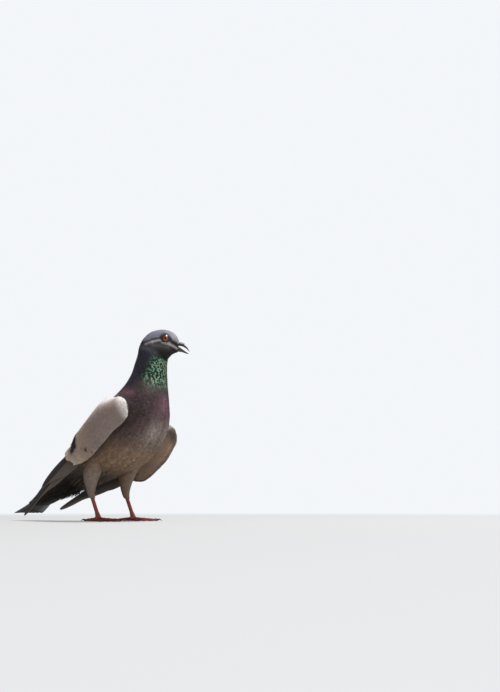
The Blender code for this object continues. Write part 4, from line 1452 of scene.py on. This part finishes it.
def push_out_of_eyes(mesh):
    """Sinks the skin behind each eye into a round socket."""
    points = np.empty(len(mesh.vertices) * 3)
    mesh.vertices.foreach_get("co", points)
    points = points.reshape(-1, 3)
    for side in (-1, 1):
        centre, out, _, _ = eye_frame(side)
        off = points - centre
        depth = off @ out
        beside = off - depth[:, None] * out
        inside = (np.linalg.norm(off, axis=1) < SOCKET_RADIUS * MM) & (depth > SOCKET_FROM * MM)
        reach = np.maximum((SOCKET_RADIUS * MM) ** 2 - (beside**2).sum(1), 0)
        sunk = centre + beside - np.sqrt(reach)[:, None] * out
        points = np.where(inside[:, None], sunk, points)
    mesh.vertices.foreach_set("co", points.ravel())
    mesh.update()
    return points


def skin_colours(points):
    """Each skin vertex takes the markings of the nearest place of the coat above it."""
    v, u = lattice(220, 72)
    layers = [(BODY.point(v, u), body_marks(BODY, v, u)[0])]
    for name, leg in LEGS.items():
        v, u = lattice(20, 20, 0.3)
        layers.append((thigh_form(**leg).point(v, u), np.broadcast_to(THIGH_GREY, (*v.shape, 3))))
        wing = Wing(**WINGS[name])
        v, u = lattice(60, 40)
        layers.append((shield_form(wing).point(v, u), wing_marks(*shield_sheet_place(wing, v, u))))
    spots, colours = (np.concatenate([k.reshape(-1, 3) for k in layer]) for layer in zip(*layers))
    tree = search_tree(spots)
    found = colours[[tree.find(p)[1] for p in points]]
    near_leg = np.zeros(len(points), bool)
    for leg in LEGS.values():
        shank = to_row((leg["side"] * FOOT_X, (HOCK_Y + FOOT_Y) / 2 + leg["shift"], 0))
        near_leg |= np.hypot(points[:, 0] - shank[0], points[:, 1] - shank[1]) < BARE_LEG_REACH * MM
    bare = near_leg & (points[:, 2] < HOCK_Z * MM) & (points[:, 1] < BARE_LEG_REAR * MM)
    return np.where(bare[:, None], LEG_RED, found)


def skin_material():
    made, tree, shader, _ = tinted_material("skin", 260.0, 0.6, 1.1, 0.6)
    folds = node(tree, "ShaderNodeTexVoronoi", {"Scale": 900.0}).outputs[0]
    connect(tree, shader, {"Normal": bumps(tree, folds, 0.4, 0.00015)})
    return made


def make_skin():
    """Body, wings' coverts, thighs, shanks and feet as one closed skin, with the eyes' bare rims on it."""
    parts = [body_core()]
    for name, leg in LEGS.items():
        wing = Wing(**WINGS[name])
        parts += [thigh_core(**leg), wing_core(wing), *shoulder_lumps(wing), *leg_core(**leg)]
    skin = object_from(joined(parts), "skin")
    remesh = skin.modifiers.new("one skin", "REMESH")
    remesh.mode, remesh.voxel_size = "VOXEL", SKIN_VOXEL
    soften = skin.modifiers.new("soften", "SMOOTH")
    soften.factor, soften.iterations = 0.5, 2
    fewer = skin.modifiers.new("fewer", "DECIMATE")
    fewer.ratio = SKIN_KEPT
    apply_modifiers(skin)
    mesh = skin.data
    colours = skin_colours(push_out_of_eyes(mesh))
    whole = joined([lid_ring(-1), lid_ring(1)], mesh)
    whole.to_mesh(mesh)
    whole.free()
    lids = np.broadcast_to(LID_GREY, (len(mesh.vertices) - len(colours), 3))
    colours = np.concatenate([colours, lids])
    opaque = np.ones((len(colours), 1))
    set_values(mesh, "tint", "FLOAT_COLOR", "color", np.concatenate([colours, opaque], 1))
    mesh.shade_smooth()
    mesh.materials.append(skin_material())
    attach(skin, "root")
    flesh = ["head", "neck", "trunk", "tail_coverts"]
    for side in ("left", "right"):
        flesh += [f"thigh_{side}", f"shank_{side}", f"foot_{side}"] + [f"toe_{toe}_{side}" for toe in TOES]
    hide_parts(*flesh)


# ---------------------------------------------------------------- eyes, bill and cere

def plain_piece(name, parts, material, slot, *nodes):
    piece = object_from(joined(parts), name)
    piece.data.shade_smooth()
    piece.data.set_sharp_from_angle(angle=math.radians(55))
    piece.data.materials.append(material)
    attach(piece, "root")
    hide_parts(*nodes)
    return piece


# Degrees from the middle of the pupil, over 60, and the eye's colour there.
EYE_COLOURS = [(0.0, (0.004, 0.003, 0.003)), (0.3, (0.004, 0.003, 0.003)), (0.33, (0.46, 0.16, 0.05)),
               (0.4, (0.43, 0.085, 0.016)), (0.48, (0.26, 0.028, 0.005)), (0.57, (0.085, 0.01, 0.003)),
               (0.68, (0.022, 0.006, 0.004)), (1.0, (0.01, 0.006, 0.005))]


def eye_material():
    made, tree, shader = new_material("wet_eye")
    streaky = scaled(tree, noise(tree, 900.0, 4.0), -1.6, 1.6)
    place = maths(tree, "ADD", attribute(tree, "polar", "Fac"), streaky)
    bands = node(tree, "ShaderNodeValToRGB", {0: maths(tree, "DIVIDE", place, 60.0)})
    stops = bands.color_ramp.elements
    while len(stops) < len(EYE_COLOURS):
        stops.new(0.5)
    for stop, (spot, colour) in zip(stops, EYE_COLOURS):
        stop.position, stop.color = spot, (*colour, 1)
    connect(tree, shader, {"Base Color": bands.outputs[0], "Roughness": 0.3, "Specular IOR Level": 0.3,
                           "Coat Weight": 0.6, "Coat Roughness": 0.03})
    return made


def make_eyes():
    """Whole eyeballs with a bulging cornea; each vertex knows its angle from the pupil's middle."""
    material = eye_material()
    for name, side in (("left", 1), ("right", -1)):
        centre, out, back, _ = eye_frame(side)
        polar = np.radians(np.linspace(0, 180, 73)[1:-1])[:, None]
        radius = EYE_RADIUS + CORNEA_BULGE * (1 - smoothstep(math.radians(24), math.radians(42), polar))
        ball_mesh = ring_mesh(round_eye(side, radius, polar, circle(72)))
        eye = plain_piece("eyeball_" + name, [ball_mesh], material, "eye_orange", "eye_" + name)
        points = np.array([v.co for v in eye.data.vertices]) - centre
        gaze = out * math.cos(GAZE_FORWARD) - back * math.sin(GAZE_FORWARD)
        angle = np.degrees(np.arccos(np.clip(points @ gaze / np.linalg.norm(points, axis=1), -1, 1)))
        set_values(eye.data, "polar", "FLOAT", "value", angle)


def horn_material(name, colour, pale, roughness):
    """Horn or powdery skin, clouded between two colours."""
    made, tree, shader = new_material(name)
    clouds = noise(tree, 300.0, 5.0)
    connect(tree, shader, {
        "Base Color": mixed(tree, clouds, colour, pale),
        "Roughness": scaled(tree, clouds, roughness - 0.08, roughness + 0.12),
        "Normal": bumps(tree, clouds, 0.25, 0.0001),
    })
    return made


def head_part(x, y, z):
    """A closed part of the head, from its rings in the unturned frame."""
    return ring_mesh(to_row(turned(np.stack(np.broadcast_arrays(x, y, z), -1))))


def bill_half(stations, hook):
    """A bill half with a round tip and its root inside the head; hook bends its tip down."""
    places = np.linspace(0, len(stations) - 1, 64)
    rows = smooth_rows([s[1:] for s in stations], places)
    ahead = np.interp(places, np.arange(len(stations)), [s[0] for s in stations])
    ahead = ahead - 2.5 * (1 - smoothstep(26.4, 29.5, ahead))
    across, upward = round_points(circle(36), 2.2)
    close = np.sqrt(1 - np.clip((ahead - ahead[-1] + 1.8) / 1.8, 0, 0.995) ** 2)[:, None]
    top, bottom, half = rows[:, 0:1], rows[:, 1:2], rows[:, 2:3] * close
    height = (top + bottom) / 2 + upward * close * (top - bottom) / 2
    height = height - hook * smoothstep(38, 41.3, ahead)[:, None]
    return head_part(across * half, NECK_AXIS_Y - ahead[:, None], height)


# One lobe of the cere in the head's frame: its middle and its half sizes.
CERE_MIDDLE = (1.75, -70.6, 205.4)
CERE_HALF = (2.05, 3.75, 1.95)


def cere_part(side):
    """One powdery lobe of the cere, full behind and narrowing forwards beside the bill's ridge."""
    polar = np.radians(np.linspace(0, 180, 30)[1:-1])[:, None]
    around = circle(32)
    along = np.cos(polar) + 0 * around
    ring, full = np.sin(polar), 1 - 0.28 * along
    wrinkle = 1 + 0.03 * np.sin(6 * polar + 2 * np.sin(around))
    x = side * CERE_MIDDLE[0] + CERE_HALF[0] * ring * np.cos(around) * full * wrinkle
    y = CERE_MIDDLE[1] - CERE_HALF[1] * along
    z = CERE_MIDDLE[2] + CERE_HALF[2] * ring * np.sin(around) * full * wrinkle
    z = z - 0.55 * smoothstep(0.1, 1, along)
    return head_part(x, y, z)


def nostril(side):
    """A dark slit under the cere's front edge."""
    share = np.linspace(0, 1, 14)[:, None]
    angles = circle(12)
    size = np.sin(math.pi * np.clip(share, 0.03, 0.97))
    y = mix(-71.0, -74.6, share)
    half = stops_at(UPPER_BILL, -y + NECK_AXIS_Y, 3)
    x = side * (half * 0.95 + 0.22 * size * np.sin(angles))
    z = mix(203.8, 201.9, share) + 0.35 * size * np.cos(angles)
    return head_part(x, y, z)


def make_bill():
    horn = horn_material("bill_horn", (0.012, 0.012, 0.014), (0.05, 0.047, 0.047), 0.34)
    dark = horn_material("mouth_dark", (0.006, 0.005, 0.005), (0.012, 0.01, 0.01), 0.6)
    powder = horn_material("powdery_cere", (0.5, 0.475, 0.45), (0.76, 0.74, 0.71), 0.85)
    plain_piece("bill_top", [bill_half(UPPER_BILL, 0.5)], horn, "bill_black", "bill_upper")
    plain_piece("bill_bottom", [bill_half(LOWER_BILL, 0.0)], horn, "bill_black", "bill_lower")
    plain_piece("nostrils", [nostril(-1), nostril(1)], dark, "bill_black")
    plain_piece("cere_lobes", [cere_part(-1), cere_part(1)], powder, "cere_white", "cere")


# ---------------------------------------------------------------- legs

def scale_material():
    made, tree, shader, clouds = tinted_material("leg_scales", 700.0, 0.75, 1.2, 0.45)
    connect(tree, shader, {"Normal": bumps(tree, clouds, 0.3, 0.0001)})
    return made


SCUTE = {"root": 0.96, "full": 0.15, "close": 0.75, "blunt": 0.12}


def scutes(form, v, u, length, width, rng):
    block = lay_feathers(form, v, u, 0 * v + length, 0 * v + width, 0 * v - 0.25, 0 * v + 0.16, rng,
                         swing=0 * v, camber=0.015, steps=5, columns=9, shape=SCUTE, ruffle=0.0)
    return finish_block(block, plain(LEG_RED, block), 0.0, rng, 0.08)


def make_scales(name, side, shift, material, rng):
    """Broad plates down the front of the shank and along the top of each toe, fine scales behind."""
    share = np.linspace(0, 1, 60)[:, None]
    shank = Form(shank_rings(side, shift, share, FOOT_PAD_HEIGHT - 0.5, 40))
    v = np.linspace(0.02, 0.93, 15)
    blocks = [scutes(shank, v, 0 * v + 0.5, 2.5, 5.4, rng)]
    rows, count = 17, 7
    v = np.repeat(np.linspace(0.02, 0.95, rows), count)
    u = np.tile((np.arange(count) - 3) * 0.075, rows) + 0.037 * np.repeat(np.arange(rows) % 2, count)
    blocks.append(scutes(shank, v, u % 1.0, 1.8, 1.5, rng))
    for toe in TOES.values():
        v = np.linspace(0.17, 0.94, int(toe["length"] / 1.45))
        blocks.append(scutes(Form(toe_rings(side, shift, toe, 24)), v, 0 * v, 2.2, 3.3 - 0.9 * v, rng))
    feather_piece("leg_scales_" + name, blocks, material)


def claw(side, shift, toe):
    share = np.linspace(-0.25, 1, 22)[:, None]
    tapered = np.clip(share, 0, 1)
    across, up = round_points(circle(16), 2.2)
    half = 0.98 * (1 - 0.86 * tapered**1.2)
    start = FOOT_PAD_RADIUS + GAP + toe["length"] + GAP
    place = along_toe(side, shift, toe, start + CLAW_LENGTH * share, across * half * 0.8)
    middle = 1.5 + 1.0 * np.sin(math.pi * np.clip(share, -0.1, 1)) - 1.2 * tapered**2
    place[..., 2] = middle + up * half * 1.1
    return ring_mesh(to_row(place))


def make_legs(rng):
    material = scale_material()
    horn = horn_material("claw_horn", (0.015, 0.013, 0.012), (0.07, 0.06, 0.055), 0.36)
    for name, leg in LEGS.items():
        make_scales(name, **leg, material=material, rng=rng)
        claws = [claw(**leg, toe=toe) for toe in TOES.values()]
        plain_piece("claws_" + name, claws, horn, "claw_black", *[f"claw_{toe}_{name}" for toe in TOES])


# ---------------------------------------------------------------- floor, light and camera

def make_floor():
    """A grey floor that fades into the background at a distance; it shines only towards the camera."""
    bm = bmesh.new()
    bmesh.ops.create_grid(bm, x_segments=1, y_segments=1, size=FLOOR_HALF_SIZE)
    floor = object_from(bm, "floor")
    made, tree, shader = new_material("studio_floor")
    connect(tree, shader, {"Base Color": (0.5, 0.5, 0.5, 1), "Roughness": 0.9})
    place = node(tree, "ShaderNodeNewGeometry").outputs["Position"]
    distance = node(tree, "ShaderNodeVectorMath", {0: place}, operation="LENGTH").outputs["Value"]
    inputs = {"Value": distance, "From Min": 0.1, "From Max": 1.6, "To Min": 0.3, "To Max": 1.0}
    far = node(tree, "ShaderNodeMapRange", inputs, interpolation_type="SMOOTHSTEP").outputs[0]
    seen = node(tree, "ShaderNodeLightPath").outputs["Is Camera Ray"]
    glow = node(tree, "ShaderNodeEmission", {"Color": (*BACKGROUND, 1), "Strength": seen}).outputs[0]
    inputs = {0: maths(tree, "MULTIPLY", far, seen), 1: shader.outputs[0], 2: glow}
    surface = node(tree, "ShaderNodeMixShader", inputs).outputs[0]
    connect(tree, tree.nodes["Material Output"], {0: surface})
    floor.data.materials.append(made)


def area_light(name, place, size, power):
    """A round soft lamp aimed at the bird's middle."""
    light = bpy.data.lights.new(name, "AREA")
    light.shape, light.size, light.energy = "DISK", size, power
    lamp = new_object(name, light)
    lamp.location = place
    lamp.rotation_euler = (Vector(LIGHT_AIM) - Vector(place)).to_track_quat("-Z", "Y").to_euler()


def make_light():
    scene = bpy.context.scene
    world = bpy.data.worlds.new("studio")
    scene.world = world
    world.use_nodes = True
    tree = world.node_tree
    seen = node(tree, "ShaderNodeLightPath").outputs["Is Camera Ray"]
    connect(tree, tree.nodes["Background"], {"Color": mixed(tree, seen, ROOM_LIGHT, BACKGROUND)})
    scene.view_settings.view_transform = "Standard"
    area_light("soft_top", (0.3, -0.45, 1.85), 0.6, 44.0)
    area_light("soft_front", (-0.9, -1.6, 0.7), 0.9, 7.0)


def make_camera():
    camera = bpy.data.cameras.new("camera")
    camera.lens, camera.sensor_width = CAMERA_LENS, CAMERA_SENSOR
    camera.clip_start, camera.clip_end = 0.01, 100.0
    holder = new_object("camera", camera)
    x, y = CAMERA_FORWARD
    c, s = math.cos(-CAMERA_TURN), math.sin(-CAMERA_TURN)
    flat = Vector((x * c - y * s, x * s + y * c, 0)).normalized()
    aim = flat * math.cos(CAMERA_PITCH) + Vector((0, 0, math.sin(CAMERA_PITCH)))
    holder.location = to_row(CAMERA_PLACE)
    holder.rotation_euler = aim.to_track_quat("-Z", "Y").to_euler()
    bpy.context.scene.camera = holder


# ---------------------------------------------------------------- the whole bird

def wear(pieces, slot, *nodes):
    for piece in pieces:
        if nodes:
            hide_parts(*nodes)


def main():
    rng = np.random.default_rng(SEED + 1)
    make_body_coat()
    wear([make_scapulars(rng), make_vent_fluff(rng)], "body_grey")
    for name, leg in LEGS.items():
        wing = Wing(**WINGS[name])
        wear([make_thigh_coat(name, rng=rng, **leg)], "body_grey")
        wear([make_shield_coat(name, wing, rng), make_long_coverts(name, wing, rng)], "wing_grey",
             "wing_coverts_" + name)
        inner, outer = make_flight_feathers(name, wing, rng)
        wear([inner], "flight_grey", "secondaries_" + name)
        wear([outer], "flight_grey", "primaries_" + name)
    wear([make_tail(rng)], "tail_grey", "tail")
    make_skin()
    make_eyes()
    make_bill()
    make_legs(rng)
    make_floor()
    make_light()
    make_camera()


main()
